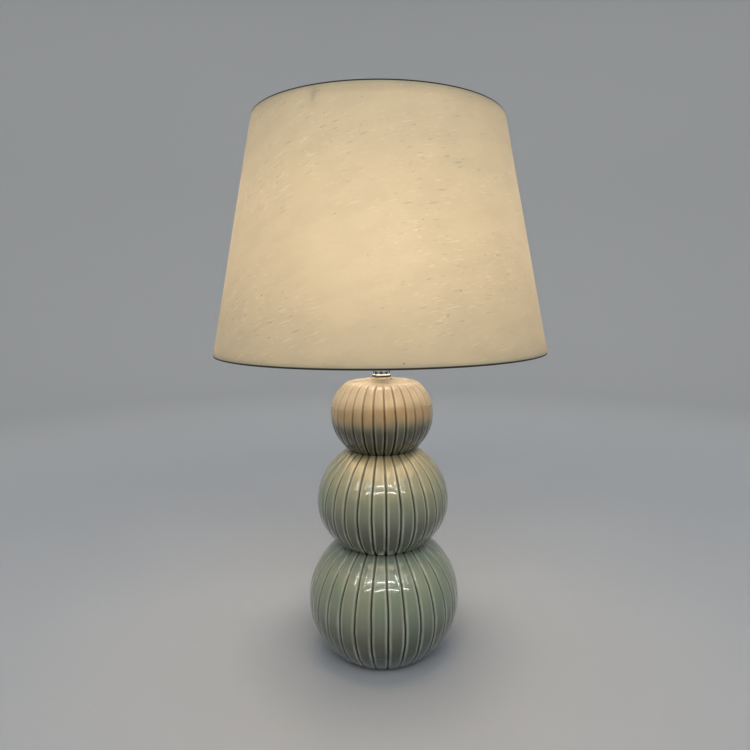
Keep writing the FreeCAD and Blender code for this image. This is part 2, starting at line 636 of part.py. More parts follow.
def harp_sleeve(side):
    """Sleeve that drops over a foot of the harp and locks it on its prong."""
    inner = HARP_FOOT_R + SLEEVE_CLEARANCE
    shape = tube(inner + SLEEVE_WALL, inner, LOCK_NUT_Z + SLEEVE_GAP, SLEEVE_LENGTH)
    shape.translate(FreeCAD.Vector(side * SADDLE_HALF_SPAN, 0, 0))
    return shape


def harp_stud():
    """Swivel stud riveted in the eye of the harp: rivet head, shank, flange and thread."""
    head_top = HARP_TOP_Z - EYE_THICKNESS - STUD_GAP
    return revolved([(0, head_top - STUD_HEAD_THICKNESS), (STUD_HEAD_R, head_top - STUD_HEAD_THICKNESS),
                     (STUD_HEAD_R, head_top), (STUD_R, head_top), (STUD_R, STUD_FLANGE_Z),
                     (STUD_FLANGE_R, STUD_FLANGE_Z), (STUD_FLANGE_R, HUB_Z), (STUD_R, HUB_Z),
                     (STUD_R, HUB_TOP_Z + STUD_THREAD_LENGTH), (0, HUB_TOP_Z + STUD_THREAD_LENGTH)])


def shade_wall_r(height, inset):
    """Radius of the shade's cone at a height, measured inset inwards from the face of the fabric."""
    return SHADE_BOTTOM_R - (height - SHADE_BOTTOM_Z) * SHADE_TAPER - inset


def shade_band(outer_inset, inner_inset, bottom, top):
    """Conical band that follows the shade's wall between two heights."""
    return revolved([(shade_wall_r(bottom, inner_inset), bottom), (shade_wall_r(bottom, outer_inset), bottom),
                     (shade_wall_r(top, outer_inset), top), (shade_wall_r(top, inner_inset), top)])


def shade_fabric():
    """Outer cloth of the shade, turned in over the wire ring at its top and bottom edges."""
    lip = FABRIC_THICKNESS + BACKING_THICKNESS + RING_THICKNESS
    low_in = SHADE_BOTTOM_Z + FABRIC_THICKNESS
    high_in = SHADE_TOP_Z - FABRIC_THICKNESS
    return revolved([(shade_wall_r(SHADE_BOTTOM_Z, lip), SHADE_BOTTOM_Z),
                     (shade_wall_r(SHADE_BOTTOM_Z, 0), SHADE_BOTTOM_Z),
                     (shade_wall_r(SHADE_TOP_Z, 0), SHADE_TOP_Z),
                     (shade_wall_r(SHADE_TOP_Z, lip), SHADE_TOP_Z),
                     (shade_wall_r(high_in, lip), high_in),
                     (shade_wall_r(high_in, FABRIC_THICKNESS), high_in),
                     (shade_wall_r(low_in, FABRIC_THICKNESS), low_in),
                     (shade_wall_r(low_in, lip), low_in)])


def shade_backing():
    """Stiff translucent sheet that the cloth is bonded to."""
    return shade_band(FABRIC_THICKNESS, FABRIC_THICKNESS + BACKING_THICKNESS,
                      SHADE_BOTTOM_Z + FABRIC_THICKNESS, SHADE_TOP_Z - FABRIC_THICKNESS)


def shade_ring(bottom):
    """Steel ring inside an edge of the shade."""
    inset = FABRIC_THICKNESS + BACKING_THICKNESS
    return shade_band(inset, inset + RING_THICKNESS, bottom, bottom + RING_THICKNESS)


def bottom_ring():
    """Ring in the lower edge of the shade."""
    return shade_ring(SHADE_BOTTOM_Z + FABRIC_THICKNESS)


def top_ring():
    """Ring in the upper edge of the shade, which the spider hangs from."""
    return shade_ring(SHADE_TOP_Z - FABRIC_THICKNESS - RING_THICKNESS)


def shade_spider():
    """Hub with three wire arms that run out level, then rise beside the wall to the top ring."""
    ring_bottom = SHADE_TOP_Z - FABRIC_THICKNESS - RING_THICKNESS
    inset = FABRIC_THICKNESS + BACKING_THICKNESS + SPIDER_WIRE_R
    end_r = shade_wall_r(SHADE_TOP_Z, inset) - HOLE_CLEARANCE
    level = HUB_Z + HUB_THICKNESS / 2.0
    flat_start = math.radians(SPIDER_AZIMUTH) + math.pi / HUB_SIDES
    shape = stacked([even_ring(HUB_R, z, HUB_SIDES, flat_start) for z in (HUB_Z, HUB_TOP_Z)])
    for arm in range(SPIDER_ARMS):
        turn = math.radians(SPIDER_AZIMUTH) + 2.0 * math.pi * arm / SPIDER_ARMS
        out = FreeCAD.Vector(math.cos(turn), math.sin(turn), 0)
        route = [out * HUB_R / 2.0 + UP * level, out * end_r + UP * level, out * end_r + UP * ring_bottom]
        shape = shape.fuse(wire_along(route, SPIDER_BEND_R, SPIDER_WIRE_R))
    return shape.cut(disc(STUD_R + STUD_CLEARANCE, HUB_Z, HUB_THICKNESS))


def finial():
    """Faceted knob that screws down on the stud and holds the shade."""
    sections = [(FINIAL_FOOT_R, 0.0), (FINIAL_FOOT_R, FINIAL_FOOT_HEIGHT),
                (FINIAL_WAIST_R, FINIAL_WAIST_START), (FINIAL_WAIST_R, FINIAL_WAIST_END),
                (FINIAL_KNOB_R, FINIAL_KNOB_START), (FINIAL_KNOB_R, FINIAL_KNOB_END),
                (FINIAL_SHOULDER_R, FINIAL_SHOULDER_HEIGHT), (FINIAL_TIP_R, FINIAL_HEIGHT)]
    rings = [even_ring(r, HUB_TOP_Z + rise, FINIAL_SIDES, 0.0) for r, rise in sections]
    return stacked(rings).cut(disc(STUD_R + STUD_CLEARANCE, HUB_TOP_Z, FINIAL_BORE_DEPTH))


PIECES = {
    "ceramic_body": ceramic_body,
    "base_felt": base_felt,
    "base_plate": base_plate,
    "base_washer": base_washer,
    "base_nut": base_nut,
    "threaded_rod": threaded_rod,
    "cord_grommet": cord_grommet,
    "top_gasket": top_gasket,
    "neck": neck,
    "harp_saddle": harp_saddle,
    "lock_nut": lock_nut,
    "socket_cap": socket_cap,
    "socket_shell": socket_shell,
    "socket_insulator": socket_insulator,
    "socket_block": socket_block,
    "screw_shell": screw_shell,
    "centre_contact": centre_contact,
    "terminal_screws": terminal_screws,
    "switch_spindle": switch_spindle,
    "switch_knob": switch_knob,
    "bulb_cap": bulb_cap,
    "bulb_glass": bulb_glass,
    "harp_bow": harp_bow,
    "harp_stud": harp_stud,
    "shade_fabric": shade_fabric,
    "shade_backing": shade_backing,
    "bottom_ring": bottom_ring,
    "top_ring": top_ring,
    "shade_spider": shade_spider,
    "finial": finial,
}

for name, make in PIECES.items():
    make().exportStep("parts/" + name + ".step")
for side_name, side in (("left", -1), ("right", 1)):
    harp_sleeve(side).exportStep("parts/harp_sleeve_" + side_name + ".step")
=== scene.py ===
"""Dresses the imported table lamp: a glazed fluted body under a lit linen shade, with its metal fittings.

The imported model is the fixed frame. Every piece is made in metres in that frame: +Z up, -Y to the front,
and the lamp stands on z = 0 with its axis on the Z axis. A piece that is made here is a surface worked out
on a grid of numbers. A piece that comes from the frame keeps its mesh and gets a finish.
"""
from __future__ import annotations

import logging
import math
from dataclasses import dataclass
from enum import Enum
from functools import cached_property
from typing import Any, Sequence

import bpy
import bmesh
import numpy as np
from bpy.types import ID, Material, Mesh, Node, NodeSocket, Object
from mathutils import Matrix, Vector
from numpy.typing import ArrayLike


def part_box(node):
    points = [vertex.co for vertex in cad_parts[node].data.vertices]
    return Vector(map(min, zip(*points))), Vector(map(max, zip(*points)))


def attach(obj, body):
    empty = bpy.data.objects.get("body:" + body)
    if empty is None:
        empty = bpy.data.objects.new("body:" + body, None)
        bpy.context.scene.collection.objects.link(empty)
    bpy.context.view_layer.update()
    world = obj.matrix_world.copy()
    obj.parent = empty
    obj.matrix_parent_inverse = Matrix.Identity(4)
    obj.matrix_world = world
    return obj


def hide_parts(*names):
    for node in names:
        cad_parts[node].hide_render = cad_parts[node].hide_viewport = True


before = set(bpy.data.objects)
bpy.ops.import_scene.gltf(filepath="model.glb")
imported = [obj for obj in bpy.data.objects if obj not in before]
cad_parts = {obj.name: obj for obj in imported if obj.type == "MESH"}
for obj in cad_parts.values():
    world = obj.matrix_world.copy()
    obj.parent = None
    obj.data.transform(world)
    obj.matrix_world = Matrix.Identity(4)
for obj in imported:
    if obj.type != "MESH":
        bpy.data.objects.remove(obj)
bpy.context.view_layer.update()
LOG = logging.getLogger("lamp")

MM = 0.001
TURN = 2.0 * math.pi
QUARTER = math.pi / 2.0
Colour = tuple[float, float, float]
Band = tuple[float, float]


class Body(Enum):
    """Bodies of the frame that a piece may ride on."""

    ROOT = "root"
    SWITCH = "switch"
    BULB = "bulb"
    SHADE = "shade"
    FINIAL = "finial"


class Grain(Enum):
    """How a pattern is squeezed along X, Y and Z, so that a small factor draws it out along that axis."""

    NONE = (1.0, 1.0, 1.0)
    LEVEL = (0.08, 0.08, 6.0)


@dataclass
class Tone:
    """A number in a material's node tree that takes part in Python expressions."""

    bench: Bench
    socket: NodeSocket

    def maths(self, operation: str, *numbers: Tone | float) -> Tone:
        """Result of one Math node on the numbers."""
        node = self.bench.node("ShaderNodeMath", dict(enumerate(numbers)), operation=operation)
        return Tone(self.bench, node.outputs[0])

    def __add__(self, other: Tone | float) -> Tone:
        """Sum of this and another number."""
        return self.maths("ADD", self, other)

    def __sub__(self, other: Tone | float) -> Tone:
        """This number less another."""
        return self.maths("SUBTRACT", self, other)

    def __rsub__(self, other: float) -> Tone:
        """A plain number less this one."""
        return self.maths("SUBTRACT", other, self)

    def __mul__(self, other: Tone | float) -> Tone:
        """Product of this and another number."""
        return self.maths("MULTIPLY", self, other)

    __radd__ = __add__
    __rmul__ = __mul__

    def sine(self) -> Tone:
        """Sine of this number, in radians."""
        return self.maths("SINE", self)

    def at_most(self, other: float) -> Tone:
        """The lesser of this and another number."""
        return self.maths("MINIMUM", self, other)

    def rise(self, low: float, high: float) -> Tone:
        """Smooth step from 0 at low to 1 at high, where low may be the greater of the two."""
        node = self.bench.node("ShaderNodeMapRange", {"Value": self, "From Min": low, "From Max": high},
                               interpolation_type="SMOOTHSTEP")
        return Tone(self.bench, node.outputs["Result"])


class Bench:
    """The node tree of one material, on which a finish lays out its nodes."""

    def __init__(self, name: str) -> None:
        """Starts an empty tree.

        Args:
            name: The material's name.
        """
        self.material = bpy.data.materials.new(name)
        self.material.use_nodes = True
        self.tree = self.material.node_tree
        self.tree.nodes.clear()

    def node(self, kind: str, sockets: dict[str | int, Any] | None = None, **settings: Any) -> Node:
        """Adds any node.

        Args:
            kind: The node's type.
            sockets: What its inputs get, by name or number: a Tone, a socket, a number or a tuple.
            settings: Its settings, which are set first.

        Returns:
            The new node.
        """
        made = self.tree.nodes.new(kind)
        for key, value in settings.items():
            setattr(made, key, value)
        for key, value in (sockets or {}).items():
            socket = made.inputs[key]
            value = value.socket if isinstance(value, Tone) else value
            if isinstance(value, NodeSocket):
                self.tree.links.new(value, socket)
            elif socket.type == "RGBA":
                socket.default_value = (*value, 1.0)
            else:
                socket.default_value = value
        return made

    @cached_property
    def here(self) -> NodeSocket:
        """Object coordinates in metres."""
        return self.node("ShaderNodeTexCoord").outputs["Object"]

    @cached_property
    def height(self) -> Tone:
        """Height above the floor in metres."""
        return Tone(self, self.node("ShaderNodeSeparateXYZ", {0: self.here}).outputs["Z"])

    def attribute(self, name: str) -> Tone:
        """Number kept in a mesh attribute."""
        return Tone(self, self.node("ShaderNodeAttribute", attribute_name=name).outputs["Fac"])

    def noise(self, scale: float, detail: float = 2.0, roughness: float = 0.5,
              squeeze: Sequence[float] = Grain.NONE.value, place: NodeSocket | None = None) -> Tone:
        """Smooth noise from 0 to 1.

        Args:
            scale: Features per metre.
            detail: Octaves.
            roughness: Strength of the finer octaves.
            squeeze: Factor on each of X, Y and Z.
            place: Where it is read, if not at the object coordinates.

        Returns:
            The noise.
        """
        place = self.here if place is None else place
        squeezed = self.node("ShaderNodeVectorMath", {0: place, 1: squeeze}, operation="MULTIPLY")
        node = self.node("ShaderNodeTexNoise", {
            "Vector": squeezed.outputs[0], "Scale": scale, "Detail": detail, "Roughness": roughness})
        return Tone(self, node.outputs["Fac"])

    def blend(self, colour: Colour | NodeSocket, *coats: tuple[Colour | NodeSocket, Tone]) -> NodeSocket:
        """Colour under coats of other colours.

        Args:
            colour: The colour at the bottom.
            coats: Each coat's colour and how much of it covers what is below, in turn.

        Returns:
            The colour output.
        """
        for coat, share in coats:
            node = self.node("ShaderNodeMix", {0: share, 6: colour, 7: coat}, data_type="RGBA")
            colour = node.outputs[2]
        return colour

    def bump(self, height: Tone, depth: float, strength: float, **under: NodeSocket) -> NodeSocket:
        """Normal of a surface raised by a height of 0 to 1.

        Args:
            height: The height.
            depth: Height in metres at 1.
            strength: Share of the effect.
            under: The Normal that this one is laid over, if any.

        Returns:
            The normal output.
        """
        sockets = {"Strength": strength, "Distance": depth, "Height": height, **under}
        return self.node("ShaderNodeBump", sockets).outputs["Normal"]

    def principled(self, sockets: dict[str, Any]) -> NodeSocket:
        """The main shader with its inputs set."""
        return self.node("ShaderNodeBsdfPrincipled", sockets).outputs["BSDF"]

    def mixed(self, share: Tone | float, first: NodeSocket, second: NodeSocket) -> NodeSocket:
        """Shader between two shaders, with that share of the second."""
        return self.node("ShaderNodeMixShader", {0: share, 1: first, 2: second}).outputs["Shader"]


@dataclass(frozen=True)
class Finish:
    """What every finish shares: its name, and a material that is made once."""

    name: str

    def lay_out(self, bench: Bench) -> NodeSocket:
        """Builds the finish's nodes.

        Args:
            bench: The material's node tree.

        Returns:
            The shader output.
        """
        raise NotImplementedError

    def material(self) -> Material:
        """Makes the finish's material on first use.

        Returns:
            The material.
        """
        known = bpy.data.materials.get(self.name)
        if known is not None:
            return known
        bench = Bench(self.name)
        bench.node("ShaderNodeOutputMaterial", {"Surface": self.lay_out(bench)})
        return bench.material


@dataclass(frozen=True)
class Glaze(Finish):
    """Glossy celadon glaze: dark where it pools in the grooves, pale on their lips, creamy near the crown.

    Light and shade are painted into its colour as well: painted shade on faces that turn down, on the top
    globe's underside, just under the lower crease, on the crown's upward faces and at the foot; painted warm
    lamp light on the top globe's upper part and on the middle globe's upward top, where the grooves are
    painted lighter and browner too. A band holds two heights in metres, and a facing two upward parts of the
    normal. Between them a share goes from 0 to 1.
    """

    olive: Colour = (0.325, 0.340, 0.225)
    sage: Colour = (0.235, 0.300, 0.215)
    # painted shade: share of the colour left on faces that turn down
    underside_shade: float = 0.24
    cream: Colour = (0.33, 0.305, 0.255)
    # painted shade on the crown's upward faces, which holds down the bulb's light there
    crown_top_shade: Colour = (0.165, 0.150, 0.128)
    # painted shade on the top globe's underside
    top_underside_shade: Colour = (0.055, 0.042, 0.014)
    # painted shade on the bottom globe just under the crease
    under_crease_shade: Colour = (0.105, 0.175, 0.150)
    # painted warm lamp light
    lamp_glow_amber: Colour = (0.42, 0.31, 0.18)
    pale: Colour = (0.50, 0.52, 0.42)
    # glaze pooled in the grooves, also used as painted contact shade at the foot
    pooled_glaze_and_foot_shade: Colour = (0.022, 0.024, 0.013)
    # painted light: the grooves' brown where light falls on them
    lit_groove_brown: Colour = (0.20, 0.11, 0.042)
    # heights of the painted lamp light on the top globe
    lamp_glow_band: Band = (0.300, 0.322)
    crown_band: Band = (0.318, 0.342)
    # heights of the painted lamp light on the middle globe's top
    middle_lamp_glow_band: Band = (0.215, 0.262)
    upper_band: Band = (0.262, 0.270)
    # heights of the painted shade under the lower crease
    under_crease_shade_bands: tuple[Band, Band] = ((0.124, 0.146), (0.1500, 0.1475))
    # heights of the painted contact shade at the foot
    foot_shade_band: Band = (0.016, 0.002)
    # facing over which the painted shade gives way to the full colour
    lit_facing: Band = (-0.45, 0.68)
    # facing of the crown's painted shade
    crown_top_shade_facing: Band = (0.40, 0.78)
    # facing over which the grooves get painted light
    lit_upward_facing: Band = (0.45, 0.85)
    # facing of the painted shade under the top globe
    top_underside_shade_facing: Band = (-0.04, -0.36)
    drift_scale: float = 11.0
    speck_scale: float = 900.0
    ripple_scale: float = 55.0
    ripple_depth: float = 0.9 * MM
    peel_scale: float = 420.0
    peel_depth: float = 0.004 * MM
    gloss: float = 0.09

    def lay_out(self, bench: Bench) -> NodeSocket:
        """Colour from the groove attributes over a slow drift of green and olive, under a clear coat.

        Painted shade and painted warm lamp light are laid into the colour by height and facing.

        Args:
            bench: The material's node tree.

        Returns:
            The shader output.
        """
        groove, lip, crease, upward = map(bench.attribute, ("groove", "lip", "crease", "upward"))
        drift = bench.noise(self.drift_scale, 3.0, 0.55, (1.0, 1.0, 0.55))
        runs = bench.noise(120.0, squeeze=(1.0, 1.0, 0.12))
        share = (drift + runs * 0.25 - 0.12).rise(0.30, 0.72)
        # Painted shade: faces that turn down get darker copies of the olive and the green.
        underside_shade_tints = [tuple(self.underside_shade * part for part in tint) for tint in (self.olive, self.sage)]
        low = bench.blend(underside_shade_tints[0], (underside_shade_tints[1], share))
        full = bench.blend(self.olive, (self.sage, share))
        uneven_height = bench.height + (drift - 0.5) * 0.04
        # Painted warm lamp light on the top globe's upper part; it also browns the grooves there.
        thin = uneven_height.rise(*self.lamp_glow_band)
        crown = uneven_height.rise(*self.crown_band)
        # Painted warm lamp light on the upward faces of the middle globe's top.
        middle_lamp_glow = bench.height.rise(*self.middle_lamp_glow_band) * upward.rise(0.0, 0.6) * 0.35
        upper = bench.height.rise(*self.upper_band)
        # Band just under the lower crease, for its painted shade.
        begun, ended = (bench.height.rise(*band) for band in self.under_crease_shade_bands)
        specks = bench.noise(self.speck_scale, 1.0)
        uneven = bench.noise(60.0, squeeze=(1.0, 1.0, 0.5)).rise(0.25, 0.7)
        # Upward faces, on which the grooves get painted light.
        lit_upward = upward.rise(*self.lit_upward_facing)
        # Groove colour, browned by painted light on the lamp-lit top and on upward faces.
        dark = bench.blend(self.pooled_glaze_and_foot_shade, (self.lit_groove_brown, (thin + lit_upward * 0.4).at_most(1.0)))
        # Groove darkening fades towards the crown and, as painted light, on upward faces.
        groove_fade_crown_and_lit = (crown + lit_upward * 0.6).at_most(1.0)
        # Painted contact shade: darker towards the floor over the lowest 16 mm.
        foot = bench.height.rise(*self.foot_shade_band) * 0.7
        colour = bench.blend(
            low,
            (full, upward.rise(*self.lit_facing)),
            # painted warm lamp light
            (self.lamp_glow_amber, (thin * 0.85 + middle_lamp_glow).at_most(0.85)),
            (self.cream, crown * 0.9),
            # painted shade on the crown's upward faces
            (self.crown_top_shade, crown * upward.rise(*self.crown_top_shade_facing)),
            # painted shade on the top globe's faces that turn down
            (self.top_underside_shade, upper * upward.rise(*self.top_underside_shade_facing) * 0.6),
            # painted shade just under the lower crease, on faces that turn up
            (self.under_crease_shade, begun * ended * upward.rise(0.2, 0.7) * 0.55),
            (self.pale, specks.rise(0.72, 0.9) * 0.12),
            (self.pale, lip * (uneven * 0.5 + 0.28) * (1.0 - upper * 0.6)),
            # pooled glaze in the grooves, darker along the creases, painted contact shade at the foot
            (dark, (crease * 0.85 + groove + foot).at_most(1.0) * (0.96 - groove_fade_crown_and_lit * 0.6)))
        ripple = bench.noise(self.ripple_scale, 1.0, squeeze=(1.0, 1.0, 0.6))
        peel = bench.noise(self.peel_scale)
        normal = bench.bump(peel, self.peel_depth, 0.6, Normal=bench.bump(ripple, self.ripple_depth, 0.35))
        return bench.principled({
            "Base Color": colour, "Roughness": self.gloss + uneven * 0.05 + groove * 0.12 + crown * 0.3,
            "Normal": normal, "IOR": 1.5, "Coat Weight": 0.85 - crown * 0.85, "Coat Roughness": 0.02,
            "Coat IOR": 1.5})


@dataclass(frozen=True)
class LitSheet(Finish):
    """Sheet that lets the bulb's light through, some of it spread and some of it straight ahead."""

    through: Colour = (0.93, 0.87, 0.77)
    let_through: float = 0.320
    ahead: float = 0.43

    def lit(self, bench: Bench, cover: NodeSocket, share: Tone | float) -> NodeSocket:
        """Mixes the sheet's own shader with the light from behind it.

        Args:
            bench: The material's tree.
            cover: The sheet's own shader.
            share: How much of the light comes through.

        Returns:
            The shader output.
        """
        spread = bench.node("ShaderNodeBsdfTranslucent", {"Color": self.through})
        ahead = bench.node("ShaderNodeBsdfRefraction", {"Color": self.through, "Roughness": 1.0, "IOR": 1.5})
        behind = bench.mixed(self.ahead, spread.outputs["BSDF"], ahead.outputs["BSDF"])
        return bench.mixed(share, cover, behind)


@dataclass(frozen=True)
class Linen(LitSheet):
    """Slubbed linen on a translucent backing, lit from inside. Its pattern lies on the flat cut."""

    cloth: Colour = (0.60, 0.53, 0.36)
    slub: Colour = (0.73, 0.66, 0.52)
    shade_thread: Colour = (0.45, 0.39, 0.30)
    seed: Colour = (0.20, 0.15, 0.09)
    edge: Colour = (0.035, 0.030, 0.020)
    thread_pitch: float = 0.8 * MM
    slub_depth: float = 0.25 * MM
    hem_edge: Band = (5.2, 3.6)
    rim_edge: Band = (2.3, 1.3)

    def lay_out(self, bench: Bench) -> NodeSocket:
        """Weave, slubs and seeds over a cloudy cloth colour, mixed with light let through.

        Args:
            bench: The material's node tree.

        Returns:
            The shader output.
        """
        flat = bench.node("ShaderNodeUVMap", uv_map="flat_cut").outputs["UV"]

        def spots(along: float, across: float, detail: float = 0.0) -> Tone:
            """Noise on the flat cut, with so many features per metre along and across it."""
            return bench.noise(1.0, detail, squeeze=(along, across, 1.0), place=flat)

        parts = bench.node("ShaderNodeSeparateXYZ", {0: flat})
        turns = TURN / self.thread_pitch
        wander = spots(24.0, 240.0, 1.0)
        weft = (Tone(bench, parts.outputs["Y"]) * turns + wander * 9.0).sine() * 0.5 + 0.5
        warp = (Tone(bench, parts.outputs["X"]) * turns * 0.94 + wander * 7.0).sine() * 0.5 + 0.5
        weave = weft * 0.6 + warp * 0.4
        long_slub = spots(60.0, 430.0).rise(0.69, 0.79)
        short_slub = spots(120.0, 500.0).rise(0.69, 0.79)
        upright_slub = spots(600.0, 90.0).rise(0.72, 0.84)
        patchy = spots(9.0, 14.0, 1.0).rise(0.38, 0.62)
        slubs = (long_slub + short_slub * 0.8 + upright_slub * 0.4).at_most(1.0) * (patchy * 0.75 + 0.25)
        thin = spots(80.0, 440.0).rise(0.30, 0.19) * (patchy * 0.8 + 0.2)
        cloud = spots(26.0, 60.0, 3.0)
        seeds = spots(150.0, 420.0).rise(0.84, 0.88)
        border = bench.attribute("from_edge")
        rim = border.rise(*self.rim_edge)
        colour = bench.blend(
            self.cloth, (self.slub, slubs), (self.shade_thread, thin * 0.8 + cloud.rise(0.3, 0.75) * 0.2),
            (self.seed, seeds * 0.7), (self.edge, rim))
        cover = bench.principled({
            "Base Color": colour, "Roughness": 0.85,
            "Normal": bench.bump(weave * 0.45 + slubs, self.slub_depth, 0.8),
            "Sheen Weight": 0.15, "Sheen Roughness": 0.5, "Specular IOR Level": 0.2})
        dense = (thin * 0.34 + cloud.rise(0.35, 0.75) * 0.14 + weave * 0.10 + seeds * 0.5).at_most(1.0)
        hem = border.rise(*self.hem_edge)
        return self.lit(bench, cover, self.let_through * (1.0 - dense) * (1.0 - hem * 0.6) * (1.0 - rim))


@dataclass(frozen=True)
class Lining(LitSheet):
    """Stiff white sheet behind the cloth."""

    through: Colour = (0.97, 0.93, 0.84)
    tint: Colour = (0.86, 0.82, 0.73)
    fibre_tint: Colour = (0.78, 0.73, 0.63)

    def lay_out(self, bench: Bench) -> NodeSocket:
        """Faint fibres in a white sheet, mixed with light let through.

        Args:
            bench: The material's node tree.

        Returns:
            The shader output.
        """
        fibre = bench.noise(160.0, 4.0, squeeze=(1.0, 1.0, 0.6))
        cover = bench.principled({
            "Base Color": bench.blend(self.tint, (self.fibre_tint, fibre.rise(0.4, 0.8) * 0.5)),
            "Roughness": 0.55, "Normal": bench.bump(fibre, 0.05 * MM, 0.5)})
        return self.lit(bench, cover, self.let_through)


@dataclass(frozen=True)
class Metal(Finish):
    """Plated or drawn metal with fine scratches, smudges and a tarnish that gathers in patches."""

    tint: Colour
    tarnish: Colour
    roughness: float
    grain: Grain = Grain.NONE
    grain_scale: float = 900.0
    grain_depth: float = 0.01 * MM

    def lay_out(self, bench: Bench) -> NodeSocket:
        """Metal colour with patches of tarnish, and a roughness that follows smudges and scratches.

        Args:
            bench: The material's node tree.

        Returns:
            The shader output.
        """
        smudge = bench.noise(90.0, 4.0, 0.6)
        scratch = bench.noise(self.grain_scale, squeeze=self.grain.value)
        return bench.principled({
            "Base Color": bench.blend(self.tint, (self.tarnish, smudge.rise(0.45, 0.8) * 0.5)),
            "Metallic": 1.0, "Roughness": self.roughness + smudge * 0.10 + scratch * 0.06,
            "Normal": bench.bump(scratch, self.grain_depth, 0.5)})


@dataclass(frozen=True)
class Moulded(Finish):
    """Moulded plastic, rubber, fibre or enamel: a base colour with mottling, grain and a soft gloss."""

    tint: Colour
    mottle: Colour
    roughness: float
    grain_scale: float
    grain_depth: float
    coat: float = 0.0

    def lay_out(self, bench: Bench) -> NodeSocket:
        """Mottled colour over a fine grain.

        Args:
            bench: The material's node tree.

        Returns:
            The shader output.
        """
        cloud = bench.noise(120.0, 3.0)
        grain = bench.noise(self.grain_scale, 3.0, 0.6)
        return bench.principled({
            "Base Color": bench.blend(self.tint, (self.mottle, cloud.rise(0.35, 0.75))),
            "Roughness": self.roughness + (grain - 0.5) * 0.18, "Coat Weight": self.coat,
            "Coat Roughness": 0.12, "Normal": bench.bump(grain, self.grain_depth, 0.5)})


@dataclass(frozen=True)
class Felt(Finish):
    """Dense felt with matted fibres."""

    tint: Colour = (0.035, 0.055, 0.042)
    lint: Colour = (0.10, 0.13, 0.11)

    def lay_out(self, bench: Bench) -> NodeSocket:
        """Fibres as a fine noise that lightens the colour and raises the surface.

        Args:
            bench: The material's node tree.

        Returns:
            The shader output.
        """
        fibre = bench.noise(1500.0, 5.0, 0.7, (1.0, 0.5, 1.0))
        return bench.principled({
            "Base Color": bench.blend(self.tint, (self.lint, fibre.rise(0.45, 0.75))), "Roughness": 0.95,
            "Sheen Weight": 0.4, "Sheen Roughness": 0.6, "Normal": bench.bump(fibre, 0.3 * MM, 0.7)})


@dataclass(frozen=True)
class OpalGlass(Finish):
    """Frosted bulb that is lit: brightest round its middle and dimmer at its neck."""

    frosted: Colour = (0.9, 0.88, 0.84)
    glow: Colour = (1.0, 0.86, 0.69)
    neck_glow: Colour = (0.5, 0.38, 0.26)
    strength: float = 143.0
    bright_band: Band = (0.466, 0.520)

    def lay_out(self, bench: Bench) -> NodeSocket:
        """Emission that rises from the neck to the dome, over frosted glass.

        Args:
            bench: The material's node tree.

        Returns:
            The shader output.
        """
        frost = bench.noise(500.0)
        light = bench.blend(self.neck_glow, (self.glow, bench.height.rise(*self.bright_band)))
        return bench.principled({
            "Base Color": self.frosted, "Roughness": 0.3 + frost * 0.1,
            "Emission Color": light, "Emission Strength": self.strength})


@dataclass(frozen=True)
class Paper(Finish):
    """Matt backdrop that turns paler away from the lamp's foot, with painted shade near the foot."""

    # painted shade: darker and bluer near the foot, against the lamp's own warm light on the floor
    near: Colour = (0.42, 0.445, 0.475)
    far: Colour = (0.555, 0.565, 0.57)

    def lay_out(self, bench: Bench) -> NodeSocket:
        """Colour by the distance from the origin, with a faint cloud.

        Args:
            bench: The material's node tree.

        Returns:
            The shader output.
        """
        # Painted shade: the colour is darker and bluer within about half a metre of the foot.
        length = bench.node("ShaderNodeVectorMath", {0: bench.here}, operation="LENGTH")
        away = Tone(bench, length.outputs["Value"]).rise(0.5, 1.8)
        colour = bench.blend(self.near, (self.far, away * 0.9 + bench.noise(1.1) * 0.1))
        return bench.principled({"Base Color": colour, "Roughness": 0.9, "Specular IOR Level": 0.1})


GLAZE = Glaze("celadon_glaze")
LINEN = Linen("slubbed_linen")
LINING = Lining("translucent_lining")
NICKEL = Metal("polished_nickel", (0.74, 0.72, 0.68), (0.52, 0.49, 0.44), 0.07)
CHROME = Metal("bright_chrome", (0.90, 0.91, 0.93), (0.66, 0.66, 0.65), 0.05)
BARE_STEEL = Metal("bare_steel", (0.075, 0.072, 0.068), (0.05, 0.045, 0.04), 0.5)
BRASS = Metal("socket_brass", (0.78, 0.60, 0.30), (0.46, 0.33, 0.15), 0.20, Grain.LEVEL)
ZINC = Metal("zinc_plate", (0.56, 0.57, 0.58), (0.40, 0.40, 0.38), 0.32, Grain.LEVEL, 500.0, 0.02 * MM)
BRIGHT = Metal("drawn_aluminium", (0.80, 0.80, 0.80), (0.60, 0.60, 0.59), 0.24, Grain.LEVEL)
FELT = Felt("matted_felt")
RUBBER = Moulded("gasket_rubber", (0.018, 0.018, 0.017), (0.03, 0.03, 0.028), 0.75, 900.0, 0.06 * MM)
DARK_PLASTIC = Moulded("dark_moulding", (0.022, 0.020, 0.018), (0.035, 0.032, 0.03), 0.38, 600.0, 0.02 * MM)
PHENOLIC = Moulded("phenolic_block", (0.035, 0.026, 0.020), (0.06, 0.045, 0.035), 0.42, 500.0, 0.05 * MM)
FIBRE = Moulded("pressed_fibre", (0.24, 0.17, 0.11), (0.33, 0.25, 0.17), 0.85, 420.0, 0.10 * MM)
ENAMEL = Moulded("white_enamel", (0.74, 0.73, 0.69), (0.80, 0.79, 0.76), 0.28, 260.0, 0.03 * MM, 0.3)
OPAL = OpalGlass("lit_opal_glass")
PAPER = Paper("studio_paper")


